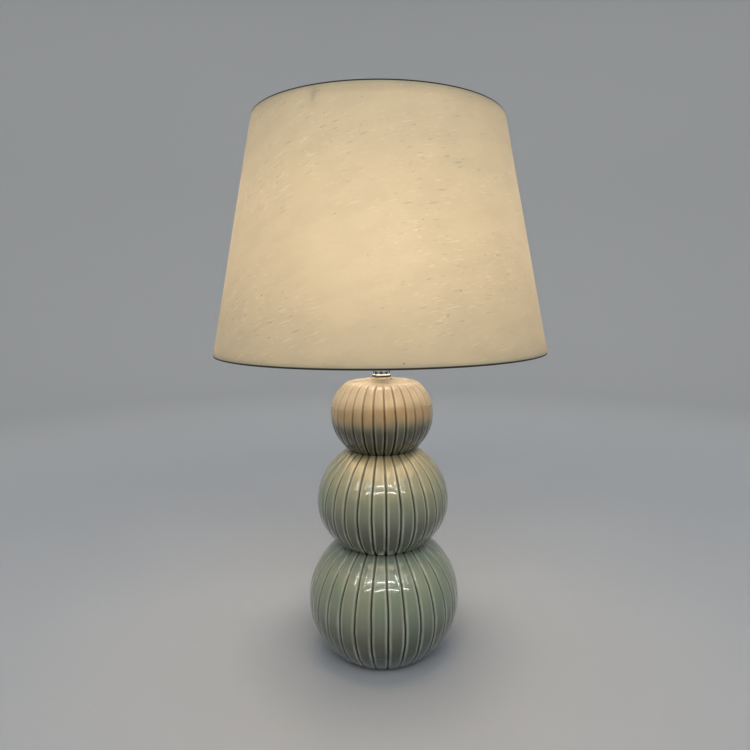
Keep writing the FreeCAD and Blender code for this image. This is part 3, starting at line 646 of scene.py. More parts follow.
@dataclass
class Patch:
    """Grid of points that is one stretch of a piece's surface.

    The points are an array of rows by columns by 3. Rows and columns may each close on themselves. Extra
    numbers on the points are kept as named attributes, and flat positions as a UV map. Each row of faces
    may pick the second of the piece's finishes.
    """

    points: np.ndarray
    rows_close: bool = False
    columns_close: bool = True
    numbers: dict[str, np.ndarray] | None = None
    flat: np.ndarray | None = None
    second: np.ndarray | None = None

    def faces(self) -> np.ndarray:
        """Quads between neighbouring rows and columns.

        Returns:
            Corner numbers, four to a face.
        """
        rows, columns = self.points.shape[:2]
        number = np.arange(rows * columns).reshape(rows, columns)
        number = np.pad(number, ((0, int(self.rows_close)), (0, int(self.columns_close))), mode="wrap")
        corners = [number[:-1, :-1], number[:-1, 1:], number[1:, 1:], number[1:, :-1]]
        return np.stack(corners, axis=-1).reshape(-1, 4)


def mesh_of(name: str, patches: Sequence[Patch], finishes: Sequence[Finish] = ()) -> Mesh:
    """Smooth mesh of grids, whose points that fall together are joined and whose faces turn outwards.

    Args:
        name: The mesh's name.
        patches: One or more grids whose shared edges meet point for point.
        finishes: Its finishes, of which the first is the usual one.

    Returns:
        The mesh.
    """
    mesh = bpy.data.meshes.new(name)
    offsets = np.cumsum([0] + [patch.points.shape[0] * patch.points.shape[1] for patch in patches])
    points = np.concatenate([patch.points.reshape(-1, 3) for patch in patches])
    faces = np.concatenate([patch.faces() + start for patch, start in zip(patches, offsets)])
    mesh.vertices.add(len(points))
    mesh.vertices.foreach_set("co", points.astype(np.float32).ravel())
    mesh.loops.add(faces.size)
    mesh.loops.foreach_set("vertex_index", faces.astype(np.int32).ravel())
    mesh.polygons.add(len(faces))
    mesh.polygons.foreach_set("loop_start", np.arange(0, faces.size, 4, dtype=np.int32))
    mesh.update(calc_edges=True)
    first = patches[0]
    for key in first.numbers or {}:
        values = np.concatenate([patch.numbers[key].ravel() for patch in patches])
        mesh.attributes.new(key, "FLOAT", "POINT").data.foreach_set("value", values.astype(np.float32))
    if first.flat is not None:
        flat = np.concatenate([patch.flat.reshape(-1, 2) for patch in patches])[faces.ravel()]
        mesh.uv_layers.new(name="flat_cut").data.foreach_set("uv", flat.astype(np.float32).ravel())
    if first.second is not None:
        picks = [np.repeat(patch.second, len(patch.faces()) // len(patch.second)) for patch in patches]
        mesh.polygons.foreach_set("material_index", np.concatenate(picks).astype(np.int32))
    for finish in finishes:
        mesh.materials.append(finish.material())
    closed = bmesh.new()
    closed.from_mesh(mesh)
    bmesh.ops.remove_doubles(closed, verts=closed.verts, dist=2e-6)
    bmesh.ops.dissolve_degenerate(closed, dist=1e-6, edges=closed.edges)
    bmesh.ops.recalc_face_normals(closed, faces=closed.faces)
    closed.to_mesh(mesh)
    closed.free()
    mesh.shade_smooth()
    return mesh


def placed(name: str, data: ID) -> Object:
    """Puts a new object into the scene.

    Args:
        name: Its name.
        data: Its mesh, light or camera.

    Returns:
        The object.
    """
    made = bpy.data.objects.new(name, data)
    bpy.context.scene.collection.objects.link(made)
    return made


def piece(name: str, patches: Sequence[Patch], finishes: Sequence[Finish], body: Body,
          replaced: Sequence[str], crisp: float = 40.0) -> Object:
    """Makes one finished piece out of grids and hangs it on its body.

    Args:
        name: The piece's name.
        patches: Its surface.
        finishes: Its finishes.
        body: The body that it rides on.
        replaced: Nodes of the frame that it stands for.
        crisp: Angle between faces, in degrees, past which an edge stays sharp.

    Returns:
        The new object.
    """
    mesh = mesh_of(name, patches, finishes)
    mesh.set_sharp_from_angle(angle=math.radians(crisp))
    made = placed(name, mesh)
    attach(made, body.value)
    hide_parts(*replaced)
    LOG.info("%s: %d faces on %s", name, len(mesh.polygons), body.value)
    return made


def dress(finish: Finish, *nodes: str) -> None:
    """Gives nodes of the frame a finish.

    Args:
        finish: The finish.
        nodes: The nodes' names.
    """
    for name in nodes:
        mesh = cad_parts[name].data
        mesh.materials.clear()
        mesh.materials.append(finish.material())
        LOG.info("%s: %s", name, finish.name)


def round_axis(radius: np.ndarray, turn: np.ndarray, height: np.ndarray) -> np.ndarray:
    """Points about the Z axis: x = r cos(turn), y = r sin(turn)."""
    return np.stack(np.broadcast_arrays(radius * np.cos(turn), radius * np.sin(turn), height), axis=-1)


def turned(profile: np.ndarray, columns: int, start: float = 0.0) -> np.ndarray:
    """Surface of revolution, as a grid of rows by columns by 3.

    Args:
        profile: Points (radius, height), one row each.
        columns: Even steps round the axis.
        start: Turn of the first column.

    Returns:
        The grid.
    """
    return round_axis(profile[:, :1], start + TURN * np.arange(columns) / columns, profile[:, 1:2])


def squeezed(grid: np.ndarray, share: np.ndarray) -> np.ndarray:
    """Grid drawn in towards the Z axis by a share of each point's radius."""
    return grid * np.stack([1.0 - share, 1.0 - share, np.ones_like(share)], axis=-1)


def smooth_step(values: np.ndarray, low: float, high: float) -> np.ndarray:
    """Rises from 0 to 1 as 3 t^2 - 2 t^3, where t goes from 0 at low to 1 at high."""
    t = np.clip((values - low) / (high - low), 0.0, 1.0)
    return t * t * (3.0 - 2.0 * t)


def softened(corners: ArrayLike, spacing: float, softness: float, closed: bool = False) -> np.ndarray:
    """Outline with rounded corners: even points on its straight runs, blurred along its length.

    The blur is a Gaussian whose width is the softness, so a corner gets about that radius. The two ends
    of an open outline stay where they are.

    Args:
        corners: Points (radius, height) of the outline.
        spacing: Distance between the points that come back.
        softness: Width of the blur.
        closed: Whether the last corner is joined to the first.

    Returns:
        Points (radius, height).
    """
    outline = np.asarray(corners)
    if closed:
        outline = np.vstack([outline, outline[:1]])
    length = np.append(0.0, np.cumsum(np.linalg.norm(np.diff(outline, axis=0), axis=1)))
    at = np.linspace(0.0, length[-1], max(round(length[-1] / spacing), 8) + 1)
    even = np.stack([np.interp(at, length, part) for part in outline.T], axis=1)
    if softness <= 0.0:
        return even
    reach = math.ceil(3.0 * softness / spacing)
    weight = np.exp(-0.5 * (np.arange(-reach, reach + 1) * spacing / softness) ** 2)
    if closed:
        even = even[:-1]
        padded = np.vstack([even[-reach:], even, even[:reach]])
    else:
        padded = np.pad(even, ((reach, reach), (0, 0)), mode="reflect", reflect_type="odd")
    return np.stack([np.convolve(part, weight / weight.sum(), mode="valid") for part in padded.T], axis=1)


def thinned(outline: np.ndarray, count: int, keenness: float, least: float = 1.0) -> np.ndarray:
    """Keeps points of a dense outline, closer together where it bends.

    The wanted density at a point is its least value plus the keenness times the turn of the outline per
    unit of length there, and the kept points stand at even steps of the density's running sum.

    Args:
        outline: Dense, evenly spaced points.
        count: How many points to keep.
        keenness: Weight of the bend.
        least: Density of a straight run.

    Returns:
        The kept points, the first and the last among them.
    """
    run = np.gradient(outline, axis=0)
    heading = np.unwrap(np.arctan2(run[:, 1], run[:, 0]))
    density = least * np.linalg.norm(run, axis=1) + keenness * np.abs(np.gradient(heading))
    total = np.append(0.0, np.cumsum((density[1:] + density[:-1]) / 2.0))
    wanted = np.linspace(0.0, total[-1], count)
    return outline[np.unique(np.round(np.interp(wanted, total, np.arange(len(outline)))).astype(int))]


@dataclass
class Globe:
    """One globe between the radii at which its neighbours cut it off, in millimetres.

    Above its equator it follows one half ellipse, and below it another of the same radius.
    """

    radius: float
    upper: float
    lower: float
    centre: float
    top_r: float
    foot_r: float

    def outline(self, count: int = 90) -> np.ndarray:
        """Points down the globe: r = R cos t and z = centre + H sin t, with H of that half.

        Args:
            count: How many points.

        Returns:
            Points (radius, height) from the top to the foot.
        """
        turn = np.linspace(math.acos(self.top_r / self.radius), -math.acos(self.foot_r / self.radius), count)
        half = np.where(turn > 0.0, self.upper, self.lower)
        return np.stack([self.radius * np.cos(turn), self.centre + half * np.sin(turn)], axis=1)


@dataclass
class GlazedBody:
    """The ceramic: three fluted globes in one piece, hollow, with a coved collar. Sizes are in mm."""

    globes: tuple[Globe, ...] = (
        Globe(65.2, 57.2, 59.5, 314.307, 48.0, 43.0), Globe(84.5, 79.3, 71.0, 201.317, 43.0, 56.0),
        Globe(98.1, 92.4, 90.1, 72.281, 56.0, 60.7))
    crease_heights: tuple[float, ...] = (269.581, 148.147)
    crease_reach: float = 2.4
    crease_depth: float = 1.0
    flutes: int = 30
    groove_turn: float = math.radians(-86.0)
    groove_depth: float = 1.8
    groove_reach: float = 0.9
    groove_ends: Band = (31.0, 48.0)
    foot_ends: Band = (57.5, 60.5)
    lip_rise: float = 0.14
    lip_place: float = 2.1
    lip_reach: float = 0.6
    lobe_drop: float = 0.8
    lobe_radius: float = 98.0
    stations: tuple[float, ...] = (0.0, 0.42, 0.84, 1.26, 1.75, 2.4)
    panel_steps: int = 3
    spacings: Band = (0.15, 0.5)
    keenness: Band = (7.0, 4.0)
    least_half_pitch: float = 4.4
    stray_pitches: tuple[float, ...] = (71.0, 43.0, 23.0)
    stray: float = 0.45
    outer_rows: int = 140
    inner_rows: int = 22
    softness: float = 0.45
    bore_r: float = 5.2
    collar_r: float = 12.5
    collar_edge: float = 0.8
    cove_r: float = 17.8
    cove_half: Band = (4.9, 3.7)
    bead_r: float = 19.2
    top_z: float = 361.898
    crown_z: float = 355.898
    crown_r: float = 24.0
    edge_r: float = 42.6
    edge_drop: float = 0.6
    shoulder_z: float = 350.0
    foot_z: float = 1.5
    rim_inner_r: float = 46.0
    seat_z: float = 11.0
    seat_r: float = 38.0
    recess_top: float = 14.0
    wall: float = 7.8
    hollow_band: Band = (20.0, 343.9)
    ceiling_z: float = 347.9
    ceiling_r: float = 38.2
    inlet_z: float = 34.0
    inlet_flange_r: float = 7.2
    inlet_bore_r: float = 5.0
    inlet_seat: float = 1.6
    inlet_reach: float = 20.0

    def outside(self) -> np.ndarray:
        """Outline from the bore over the crown and down the globes to the foot's rim.

        Returns:
            Points (radius, height).
        """
        turn = np.linspace(0.0, QUARTER, 12)
        out, down = self.cove_half
        cove = (self.cove_r, self.top_z - self.collar_edge) - np.stack(
            [out * np.cos(turn), down * np.sin(turn)], axis=1)
        crown = [(self.bead_r, self.crown_z + 1.2), (self.bead_r + 0.3, self.crown_z + 0.5),
                 (self.crown_r, self.crown_z), (self.edge_r, self.crown_z - self.edge_drop)]
        top, middle, bottom = (globe.outline() for globe in self.globes)
        return np.vstack([[(self.bore_r, self.top_z), (self.collar_r, self.top_z)], cove, crown, top,
                          middle[1:], bottom[1:], (self.rim_inner_r, self.foot_z)])

    def inside(self) -> np.ndarray:
        """Outline on from the foot's rim through the recess and up the hollow to the bore.

        Returns:
            Points (radius, height).
        """
        walls = np.vstack([globe.outline(16)[::-1] - (self.wall, 0.0) for globe in reversed(self.globes)])
        low, high = self.hollow_band
        walls = walls[(walls[:, 1] > low) & (walls[:, 1] < high)]
        return np.vstack([(self.rim_inner_r, self.foot_z), (self.rim_inner_r, self.seat_z),
                          (self.seat_r, self.seat_z), (self.seat_r, self.recess_top), walls,
                          (self.ceiling_r, self.ceiling_z), (self.bore_r, self.ceiling_z),
                          (self.bore_r, self.top_z)])

    def section(self) -> tuple[np.ndarray, np.ndarray, np.ndarray]:
        """Rows of the surface round the whole section, eased outside and crisp inside.

        Returns:
            Points (radius, height), outward normals, and how fluted each row is, from 0 to 1.
        """
        outer = softened(self.outside(), self.spacings[0], self.softness)
        outer = thinned(outer, self.outer_rows, self.keenness[0])
        inner = softened(self.inside(), self.spacings[1], 0.0)
        inner = thinned(inner, self.inner_rows, self.keenness[1])
        rows = np.vstack([outer, inner[1:-1]])
        run = np.roll(rows, -1, axis=0) - np.roll(rows, 1, axis=0)
        normal = np.stack([-run[:, 1], run[:, 0]], axis=1)
        normal /= np.linalg.norm(normal, axis=1, keepdims=True)
        radius, height = rows.T
        fluted = np.where(height > self.shoulder_z, smooth_step(radius, *self.groove_ends), 1.0)
        fluted = np.where(height < self.foot_z + 0.5, smooth_step(radius, *self.foot_ends), fluted)
        fluted[len(outer):] = 0.0
        return rows, normal, fluted

    def drift(self, height: np.ndarray) -> np.ndarray:
        """How far each groove strays sideways: a sum of sines of the height, with its own starts and pitches.

        Args:
            height: Height of each row.

        Returns:
            Rows by grooves, in millimetres.
        """
        groove = np.arange(self.flutes)
        total = np.zeros((len(height), self.flutes))
        for number, pitch in enumerate(self.stray_pitches):
            start = groove * (2.4 + number) + np.sin(groove * 12.9 + number) * 3.0
            longer = 1.0 + 0.2 * np.sin(groove * 7.3 + number)
            total += np.sin(TURN * height[:, None] / (pitch * longer) + start) / (1.0 + number)
        return total * self.stray / 2.0

    def patch(self) -> Patch:
        """Surface of the whole body.

        Columns of a flute stand at set distances x from its groove's centre, so that the groove is as wide
        on a narrow neck as on the widest part. A point is moved along its row's normal by
        lip - depth exp(-(x / reach)^2) - lobe cos^2(pi x / pitch).

        Returns:
            The grid with its groove, lip and crease numbers and the upward part of its normals.
        """
        rows, normal, fluted = self.section()
        radius, height, fluted = rows[:, :1], rows[:, 1:2], fluted[:, None]
        half_pitch = math.pi * radius / self.flutes
        scale = np.minimum(1.0, half_pitch / self.least_half_pitch)
        near = np.array(self.stations) * scale
        share = np.arange(1, self.panel_steps + 1) / self.panel_steps
        rising = np.hstack([near, near[:, -1:] + (half_pitch - near[:, -1:]) * share])
        falling = rising[:, -2:0:-1]
        away = np.tile(np.hstack([rising, falling]), (1, self.flutes))
        turn = (np.hstack([rising, 2.0 * half_pitch - falling]) / radius)[:, None, :]
        pitch = TURN / self.flutes
        drift = self.drift(rows[:, 1])[:, :, None] / radius[:, :, None]
        drift = drift + (np.roll(drift, -1, axis=1) - drift) * turn / pitch
        turns = self.groove_turn + turn + pitch * np.arange(self.flutes)[:, None] + drift
        creases = np.exp(-((height - self.crease_heights) / self.crease_reach) ** 2)
        crease = np.broadcast_to(creases.max(axis=1, keepdims=True) * (fluted > 0.5), away.shape)
        groove = np.exp(-(away / (self.groove_reach * scale)) ** 2) * fluted
        lip = np.exp(-((away - self.lip_place * scale) / self.lip_reach) ** 2) * fluted
        depth = (self.groove_depth + self.crease_depth * crease) * scale
        lobe = self.lobe_drop * radius / self.lobe_radius * np.cos(QUARTER * away / half_pitch) ** 2 * fluted
        move = self.lip_rise * lip - depth * groove - lobe
        upward = np.broadcast_to(normal[:, 1:2], away.shape)
        points = round_axis(radius + normal[:, :1] * move, turns.reshape(away.shape), height + upward * move)
        numbers = {"groove": groove, "lip": lip, "crease": crease, "upward": upward}
        return Patch(points * MM, rows_close=True, numbers=numbers)

    def drill_inlet(self, body: Object) -> None:
        """Cuts the cord inlet and its counterbore where the bushing sits, square to the bottom globe.

        Args:
            body: The body's object, whose mesh is changed for good.
        """
        low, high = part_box("cord_grommet")
        turn = math.atan2(low.y + high.y, low.x + high.x)
        globe = self.globes[-1]
        rise = (self.inlet_z - globe.centre) / globe.lower
        radius = globe.radius * math.sqrt(1.0 - rise ** 2)
        tilt = math.atan2(radius / globe.radius ** 2, rise / globe.lower)
        far, flange, bore = self.inlet_reach, self.inlet_flange_r, self.inlet_bore_r
        profile = np.array([(0.0, far), (flange, far), (flange, -self.inlet_seat), (bore, -self.inlet_seat),
                            (bore, -far), (0.0, -far)])
        drill = placed("inlet_drill", mesh_of("inlet_drill", [Patch(turned(profile, 48) * MM)]))
        face = Matrix.Translation((radius * math.cos(math.pi / self.flutes) * MM, 0.0, self.inlet_z * MM))
        drill.data.transform(Matrix.Rotation(turn, 4, "Z") @ face @ Matrix.Rotation(tilt, 4, "Y"))
        cut = body.modifiers.new("inlet", "BOOLEAN")
        cut.operation, cut.solver, cut.object = "DIFFERENCE", "EXACT", drill
        bpy.context.view_layer.update()
        whole = body.evaluated_get(bpy.context.evaluated_depsgraph_get())
        carved = bpy.data.meshes.new_from_object(whole)
        body.modifiers.clear()
        body.data = carved
        bpy.data.objects.remove(drill)
        LOG.info("%s: inlet cut, %d faces", body.name, len(carved.polygons))

    def build(self) -> None:
        """Makes the glazed body and dresses the hardware in its foot."""
        body = piece("glazed_body", [self.patch()], [GLAZE], Body.ROOT, ["ceramic_body"], 75.0)
        self.drill_inlet(body)
        dress(FELT, "base_felt")
        dress(ZINC, "base_plate", "base_washer", "base_nut", "threaded_rod")
        dress(DARK_PLASTIC, "cord_grommet")
        dress(RUBBER, "top_gasket")


@dataclass
class Neck:
    """Plated sleeve on the crown with a rolled rim at its foot and a row of round vents. Sizes are in mm."""

    radius: float = 10.9
    wall: float = 1.3
    foot_z: float = 363.098
    top_z: float = 383.098
    rim_r: float = 11.6
    rim_height: float = 2.1
    vents: int = 10
    vent_r: float = 1.9
    vent_z: float = 367.5
    vent_band: Band = (365.4, 369.6)
    vent_bevel: float = 0.1
    bore_r: float = 5.2
    side_steps: int = 8

    def vent_patches(self) -> list[Patch]:
        """The band of wall that holds the vents, one patch for each vent.

        A patch runs from the edge of the vent's own stretch of band in to the hole, through the wall and
        out again to the same edge on the inner face. On each face a point is between the edge and the
        hole's circle by a share s, point = edge (1 - s) + circle s, in turn round the axis and height.

        Returns:
            The patches.
        """
        half_turn = math.pi / self.vents
        low, high = self.vent_band
        across = np.linspace(-1.0, 1.0, self.side_steps + 1)[:-1]
        one = np.ones(self.side_steps)
        edge_u = np.concatenate([across, one, -across, -one])
        edge_v = np.concatenate([-one, across, one, -across])
        edge_z = edge_v * np.where(edge_v < 0.0, self.vent_z - low, high - self.vent_z)
        around = np.arctan2(edge_v, edge_u)
        inner_r = self.radius - self.wall
        rings = [(self.radius, share) for share in (0.0, 0.5, 0.85, 0.97)]
        rings += [(self.radius - self.vent_bevel, 1.0), (inner_r + self.vent_bevel, 1.0)]
        rings += [(inner_r, share) for share in (0.97, 0.5, 0.0)]
        face_r, share = np.array(rings).T[:, :, None]
        turn = edge_u * half_turn * (1.0 - share) + self.vent_r * np.cos(around) / face_r * share
        z = self.vent_z + edge_z * (1.0 - share) + self.vent_r * np.sin(around) * share
        bare = np.arange(len(rings) - 1) >= 4
        middles = -QUARTER + TURN * np.arange(self.vents) / self.vents
        return [Patch(round_axis(face_r, turn + middle, z) * MM, second=bare) for middle in middles]

    def build(self) -> None:
        """Makes the sleeve, plated outside and bare inside, and dresses the saddle and the nut above it."""
        radius, rim_r, foot_z, top_z = self.radius, self.rim_r, self.foot_z, self.top_z
        inner_r = radius - self.wall
        low, high = self.vent_band
        rim_top = foot_z + self.rim_height
        rim = [(inner_r, foot_z), (rim_r - 0.4, foot_z), (rim_r, foot_z + 0.4), (rim_r, rim_top - 0.5),
               (radius, rim_top), (radius, low)]
        foot = np.vstack([(inner_r, low), softened(rim, 0.2, 0.25)])
        top = np.array([(radius, high), (radius, top_z - 0.8), (radius - 0.25, top_z - 0.2),
                        (radius - 0.8, top_z), (self.bore_r, top_z), (self.bore_r, top_z - self.wall),
                        (inner_r, top_z - self.wall), (inner_r, high)])
        columns, start = self.vents * self.side_steps, -QUARTER - math.pi / self.vents
        patches = [Patch(turned(foot, columns, start) * MM, second=np.arange(len(foot) - 1) < 1),
                   Patch(turned(top, columns, start) * MM, second=np.arange(len(top) - 1) > 4)]
        piece("neck_sleeve", patches + self.vent_patches(), [CHROME, BARE_STEEL], Body.ROOT,
              ["neck"], 50.0)
        dress(NICKEL, "harp_saddle", "lock_nut")


@dataclass
class Socket:
    """Brass lamp socket with its fibre liner, block and contacts."""

    def build(self) -> None:
        """Dresses the socket's nodes."""
        dress(BRASS, "socket_cap", "socket_shell", "screw_shell", "centre_contact", "terminal_screws")
        dress(FIBRE, "socket_insulator")
        dress(PHENOLIC, "socket_block")


@dataclass
class Switch:
    """Turn switch in the side of the socket: a steel spindle and a ridged knob. Sizes are in mm."""

    axis_z: float = 406.9
    start: float = 18.5
    length: float = 15.0
    waist_r: float = 3.6
    knob_r: float = 5.5
    ridges: int = 16
    ridge_depth: float = 0.35

    def build(self) -> None:
        """Makes the knob, whose radius falls by depth sin^2(ridges turn / 2) on its grip."""
        outline = softened([
            (0.0, 0.0), (self.waist_r, 0.0), (self.waist_r, 4.6), (self.knob_r, 6.8), (self.knob_r, 13.6),
            (self.knob_r - 1.6, self.length), (0.0, self.length)], 0.3, 0.3)
        knob = turned(outline, 96)
        grip = smooth_step(knob[..., 2], 6.0, 7.0) * smooth_step(knob[..., 2], 14.4, 13.4)
        wave = np.sin(self.ridges * np.arctan2(knob[..., 1], knob[..., 0]) / 2.0) ** 2
        x, y, along = np.moveaxis(squeezed(knob, grip * wave * self.ridge_depth / self.knob_r), -1, 0)
        points = np.stack([x, -self.start - along, self.axis_z + y], axis=-1) * MM
        piece("ridged_knob", [Patch(points)], [DARK_PLASTIC], Body.SWITCH, ["switch_knob"])
        dress(NICKEL, "switch_spindle")


@dataclass
class Bulb:
    """Frosted bulb with a screw cap. Sizes are in mm."""

    tip_z: float = 414.4
    tip_r: float = 4.8
    cap_foot_z: float = 419.9
    neck_z: float = 439.9
    top_z: float = 523.4
    cap_r: float = 13.1
    neck_r: float = 12.9
    radius: float = 30.0
    dome_start: float = -0.62
    thread_pitch: float = 3.6
    thread_depth: float = 0.75

    def envelope(self) -> np.ndarray:
        """Outline of the glass: a neck that flares into a round dome.

        Returns:
            Points (radius, height) from its foot up.
        """
        dome = np.linspace(self.dome_start, QUARTER, 40)
        arc = np.stack([np.cos(dome), np.sin(dome) - 1.0], axis=1) * self.radius + (0.0, self.top_z)
        neck = [(0.0, self.neck_z), (self.neck_r, self.neck_z), (self.neck_r + 0.3, self.neck_z + 6.0)]
        return softened(np.vstack([neck, arc]), 1.0, 1.6)

    def threaded_cap(self) -> np.ndarray:
        """Cap whose wall is pressed into a screw: r = R - depth (1 + cos(turn - k z)) / 2.

        Returns:
            Its grid, in metres.
        """
        outline = softened([
            (0.0, self.tip_z), (self.tip_r, self.tip_z), (self.tip_r, self.tip_z + 1.2),
            (self.cap_r - 1.4, self.cap_foot_z), (self.cap_r, self.cap_foot_z + 1.4),
            (self.cap_r, self.neck_z), (0.0, self.neck_z)], 0.4, 0.3)
        grid = turned(outline, 72)
        x, y, height = np.moveaxis(grid, -1, 0)
        pressed = smooth_step(height, self.cap_foot_z + 1.0, self.cap_foot_z + 3.0)
        pressed = pressed * smooth_step(height, self.neck_z - 3.5, self.neck_z - 5.0)
        wave = (1.0 + np.cos(np.arctan2(y, x) - TURN * height / self.thread_pitch)) / 2.0
        return squeezed(grid, pressed * self.thread_depth * wave / self.cap_r) * MM

    def build(self) -> None:
        """Makes the cap and the lit envelope."""
        piece("screw_cap", [Patch(self.threaded_cap())], [BRIGHT], Body.BULB, ["bulb_cap"])
        piece("opal_envelope", [Patch(turned(self.envelope(), 96) * MM)], [OPAL], Body.BULB,
              ["bulb_glass"], 60.0)


@dataclass
class Harp:
    """Wire bow with its feet, sleeves and swivel stud."""

    def build(self) -> None:
        """Dresses the harp's nodes."""
        dress(NICKEL, "harp_bow", "harp_sleeve_left", "harp_sleeve_right", "harp_stud")


@dataclass
class LinenShade:
    """Tapered shade: linen bonded to a stiff sheet and turned in over a ring at each edge. Sizes are in mm.

    A point of the wall is given by its distance s up the slant from the bottom edge, its depth n inwards
    from the cloth's face, and its turn round the axis: r = R - s sin a - n cos a, z = z0 + s cos a - n sin a.
    """

    bottom_r: float = 203.2
    top_r: float = 150.0
    slant: float = 279.4
    bottom_z: float = 393.912
    cloth: float = 0.6
    wall: float = 1.1
    ring: float = 4.2
    hem: float = 12.0
    wrap: float = 3.8
    seam_turn: float = math.radians(165.0)
    overlap: float = 12.0
    proud: float = 0.45
    columns: int = 300
    rows: int = 92

    @property
    def taper(self) -> float:
        """Sine of the wall's lean."""
        return (self.bottom_r - self.top_r) / self.slant

    def loop(self) -> np.ndarray:
        """Section of the wall: out over the cloth, in over each ring, and down the sheet.

        Returns:
            Rows (s, n) round it.
        """
        hem_n = self.wall + self.cloth
        edge = np.array([(self.hem, hem_n), (self.wrap + 3.2, hem_n), (self.wrap, self.ring),
                         (0.0, self.ring), (0.0, 0.0), (8.0, 0.0)])
        far_edge = (self.slant, 0.0) + edge[::-1] * (-1.0, 1.0)
        sheet = [(self.slant - self.hem, self.wall), (self.hem, self.wall)]
        dense = softened(np.vstack([edge, far_edge, sheet]), 0.2, 0.55, closed=True)
        return thinned(dense, self.rows, 3.0, 0.35)

    def turns(self) -> np.ndarray:
        """Turns of the columns, closer together at the overlap.

        Returns:
            The turns, whose first and last are the same place.
        """
        width = self.overlap / self.bottom_r
        close = self.seam_turn + np.array([-1.25, -1.15, -1.0, -0.06, 0.03, 0.12]) * width
        even = self.seam_turn - TURN + TURN * np.arange(1, self.columns) / self.columns
        even = even[(even < close.min() - 0.01) & (even > close.max() + 0.01 - TURN)]
        both = np.sort(np.append(even, np.where(close <= self.seam_turn, close, close - TURN)))
        return np.append(both, both[0] + TURN)

    def flat_cut(self) -> tuple[tuple[float, float], float]:
        """Size of the cloth before it was bonded: a sector of a ring, with its hems and overlap.

        Returns:
            Width and length of its rectangle, and its own area, in metres.
        """
        inner = (self.top_r / self.taper - self.hem) * MM
        outer = (self.bottom_r / self.taper + self.hem) * MM
        angle = TURN * self.taper + self.overlap * MM / outer
        size = (2.0 * outer * math.sin(angle / 2.0), outer - inner * math.cos(angle / 2.0))
        return size, angle / 2.0 * (outer ** 2 - inner ** 2)

    def patch(self) -> Patch:
        """Surface of the whole shade, with each point's place on the flat cut.

        On the flat cut a point lies at (q sin b, q cos b), where q is its distance from the cone's tip and
        b = sin a (turn - turn of the cut's middle).

        Returns:
            The grid with its distance from the nearer edge and its flat places.
        """
        turns = self.turns()
        s, n = self.loop().T[:, :, None]
        sine, cosine = self.taper, math.sqrt(1.0 - self.taper ** 2)
        width = self.overlap / self.bottom_r
        past = (turns - self.seam_turn + math.pi) % TURN - math.pi
        lap = smooth_step(past, -1.2 * width, -width) * smooth_step(past, 0.1 * width, -0.06 * width)
        radius = self.bottom_r - s * sine - n * cosine + (n < self.cloth / 2.0) * self.proud * lap
        points = round_axis(radius, turns, self.bottom_z + s * cosine - n * sine) * MM
        tip = (self.bottom_r / sine - s) * MM
        bend = sine * (turns - self.seam_turn + math.pi)
        flat = np.stack([tip * np.sin(bend), tip * np.cos(bend)], axis=-1)
        edge = np.minimum(s, self.slant - s)
        lining = ((n > self.cloth) & (n < self.wall + 0.25) & (edge > self.hem - 0.5))[:, 0]
        return Patch(points, True, False, {"from_edge": np.broadcast_to(edge, radius.shape)}, flat, lining)

    def build(self) -> None:
        """Makes the shade and dresses the wires that carry it."""
        shade = piece("linen_shade", [self.patch()], [LINEN, LINING], Body.SHADE,
                      ["shade_fabric", "shade_backing"], 50.0)
        dress(ENAMEL, "bottom_ring", "top_ring", "shade_spider")


@dataclass
class Finial:
    """Turned metal knob on the stud. Sizes are in mm."""

    foot_z: float = 637.9
    bore_r: float = 3.45
    bore_depth: float = 17.0

    def build(self) -> None:
        """Makes the knob as a turned outline of a foot, a waist, a pear and a button."""
        outline = softened([
            (self.bore_r, 0.0), (7.2, 0.0), (7.6, 0.6), (7.6, 2.8), (6.2, 3.6), (4.5, 5.6), (4.3, 7.6),
            (4.6, 9.4), (6.6, 12.6), (8.5, 16.4), (9.0, 19.6), (8.6, 22.4), (7.2, 25.8), (5.4, 28.6),
            (3.4, 30.8), (1.6, 31.8), (0.0, 32.0)], 0.4, 0.5)
        whole = np.vstack([(0.0, self.bore_depth), (self.bore_r, self.bore_depth), outline])
        points = turned(whole + (0.0, self.foot_z), 72) * MM
        piece("turned_finial", [Patch(points)], [NICKEL], Body.FINIAL, ["finial"])


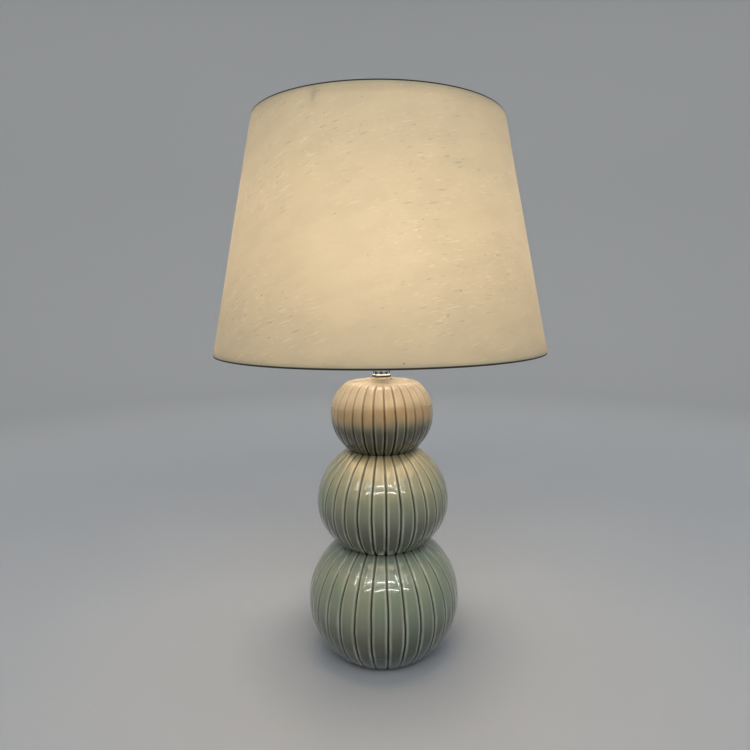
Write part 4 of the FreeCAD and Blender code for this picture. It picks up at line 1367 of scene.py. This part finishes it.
@dataclass
class Studio:
    """Pale floor that curves up into a wall all round, with soft lamps and the photograph's camera."""

    floor_r: float = 2.2
    fillet: float = 1.2
    wall_height: float = 3.6
    world: float = 0.26
    world_tint: Colour = (0.93, 0.96, 1.0)
    camera_place: tuple[float, float, float] = (0.01687, -0.7536, 0.4610)
    lens: float = 28.8
    shift_x: float = -0.026453
    pitch: float = math.radians(7.394)
    roll: float = math.radians(-0.4835)
    aim: tuple[float, float, float] = (0.0, 0.0, 0.3)

    def floor(self) -> None:
        """Makes the floor as a turned outline: flat, a quarter circle, then upright."""
        arc = np.linspace(0.0, QUARTER, 24)
        curve = np.stack([np.sin(arc), 1.0 - np.cos(arc)], axis=1) * self.fillet + (self.floor_r, 0.0)
        outline = np.vstack([(0.0, 0.0), (0.5, 0.0), (1.2, 0.0), curve,
                             (self.floor_r + self.fillet, self.wall_height)])
        placed("studio_floor", mesh_of("studio_floor", [Patch(turned(outline, 96))], [PAPER]))

    def lamp(self, name: str, place: Sequence[float], size: tuple[float, float], power: float,
             aim: Sequence[float] | None = None) -> None:
        """Adds one soft rectangular lamp that the camera doesn't see.

        Args:
            name: The lamp's name.
            place: Its middle.
            size: Its width and height.
            power: Its power in watts.
            aim: Point that it faces, if not the usual one.
        """
        light = bpy.data.lights.new(name, "AREA")
        light.shape, light.energy = "RECTANGLE", power
        light.size, light.size_y = size
        made = placed(name, light)
        back = Vector(place) - Vector(aim or self.aim)
        made.matrix_world = Matrix.Translation(place) @ back.to_track_quat("Z", "Y").to_matrix().to_4x4()
        made.visible_camera = False

    def camera(self) -> None:
        """Places the camera: it looks along +Y, tipped down by the pitch and turned by the roll."""
        data = bpy.data.cameras.new("photo_camera")
        data.lens, data.sensor_width, data.shift_x = self.lens, 36.0, self.shift_x
        data.clip_start, data.clip_end = 0.01, 50.0
        made = placed("photo_camera", data)
        tip = Matrix.Rotation(QUARTER - self.pitch, 4, "X")
        made.matrix_world = Matrix.Translation(self.camera_place) @ tip @ Matrix.Rotation(self.roll, 4, "Z")
        bpy.context.scene.camera = made

    def build(self) -> None:
        """Makes the floor, the lamps, the even light of the room and the camera."""
        self.camera()
        self.floor()
        self.lamp("ceiling_panel", (0.0, -1.7, 2.3), (2.6, 1.1), 7.0)
        self.lamp("right_softbox", (1.9, -1.3, 1.6), (1.8, 1.6), 1.8)
        self.lamp("left_softbox", (-1.9, -1.2, 1.5), (1.8, 1.6), 0.7)
        self.lamp("top_softbox", (0.0, 0.4, 2.2), (1.4, 1.4), 3.0)
        self.lamp("wall_washer", (0.0, 0.8, 2.4), (3.2, 0.8), 20.0, (0.0, 2.7, 0.1))
        self.lamp("low_strip", (0.15, -2.2, 1.65), (3.0, 0.06), 12.0)
        for number in range(9):
            self.lamp("row_spot", (0.22 * (number - 4) + 0.05, -2.0, 2.2), (0.07, 0.07), 1.0)
        for side in (-1.0, 1.0):
            self.lamp("side_strip", (1.45 * side, -1.6, 2.2), (0.06, 0.9), 4.0)
        world = bpy.data.worlds.new("room_light")
        world.use_nodes = True
        inputs = world.node_tree.nodes["Background"].inputs
        inputs["Color"].default_value = (*self.world_tint, 1.0)
        inputs["Strength"].default_value = self.world
        bpy.context.scene.world = world
        bpy.context.scene.view_settings.view_transform = "Standard"


def main() -> None:
    """Builds the studio, then the lamp from its foot up."""
    logging.basicConfig(level=logging.INFO, format="%(name)s %(message)s")
    for part in (Studio(), GlazedBody(), Neck(), Socket(), Switch(), Bulb(), Harp(), LinenShade(), Finial()):
        LOG.info("building %s", type(part).__name__)
        part.build()


if __name__ == "__main__":
    main()
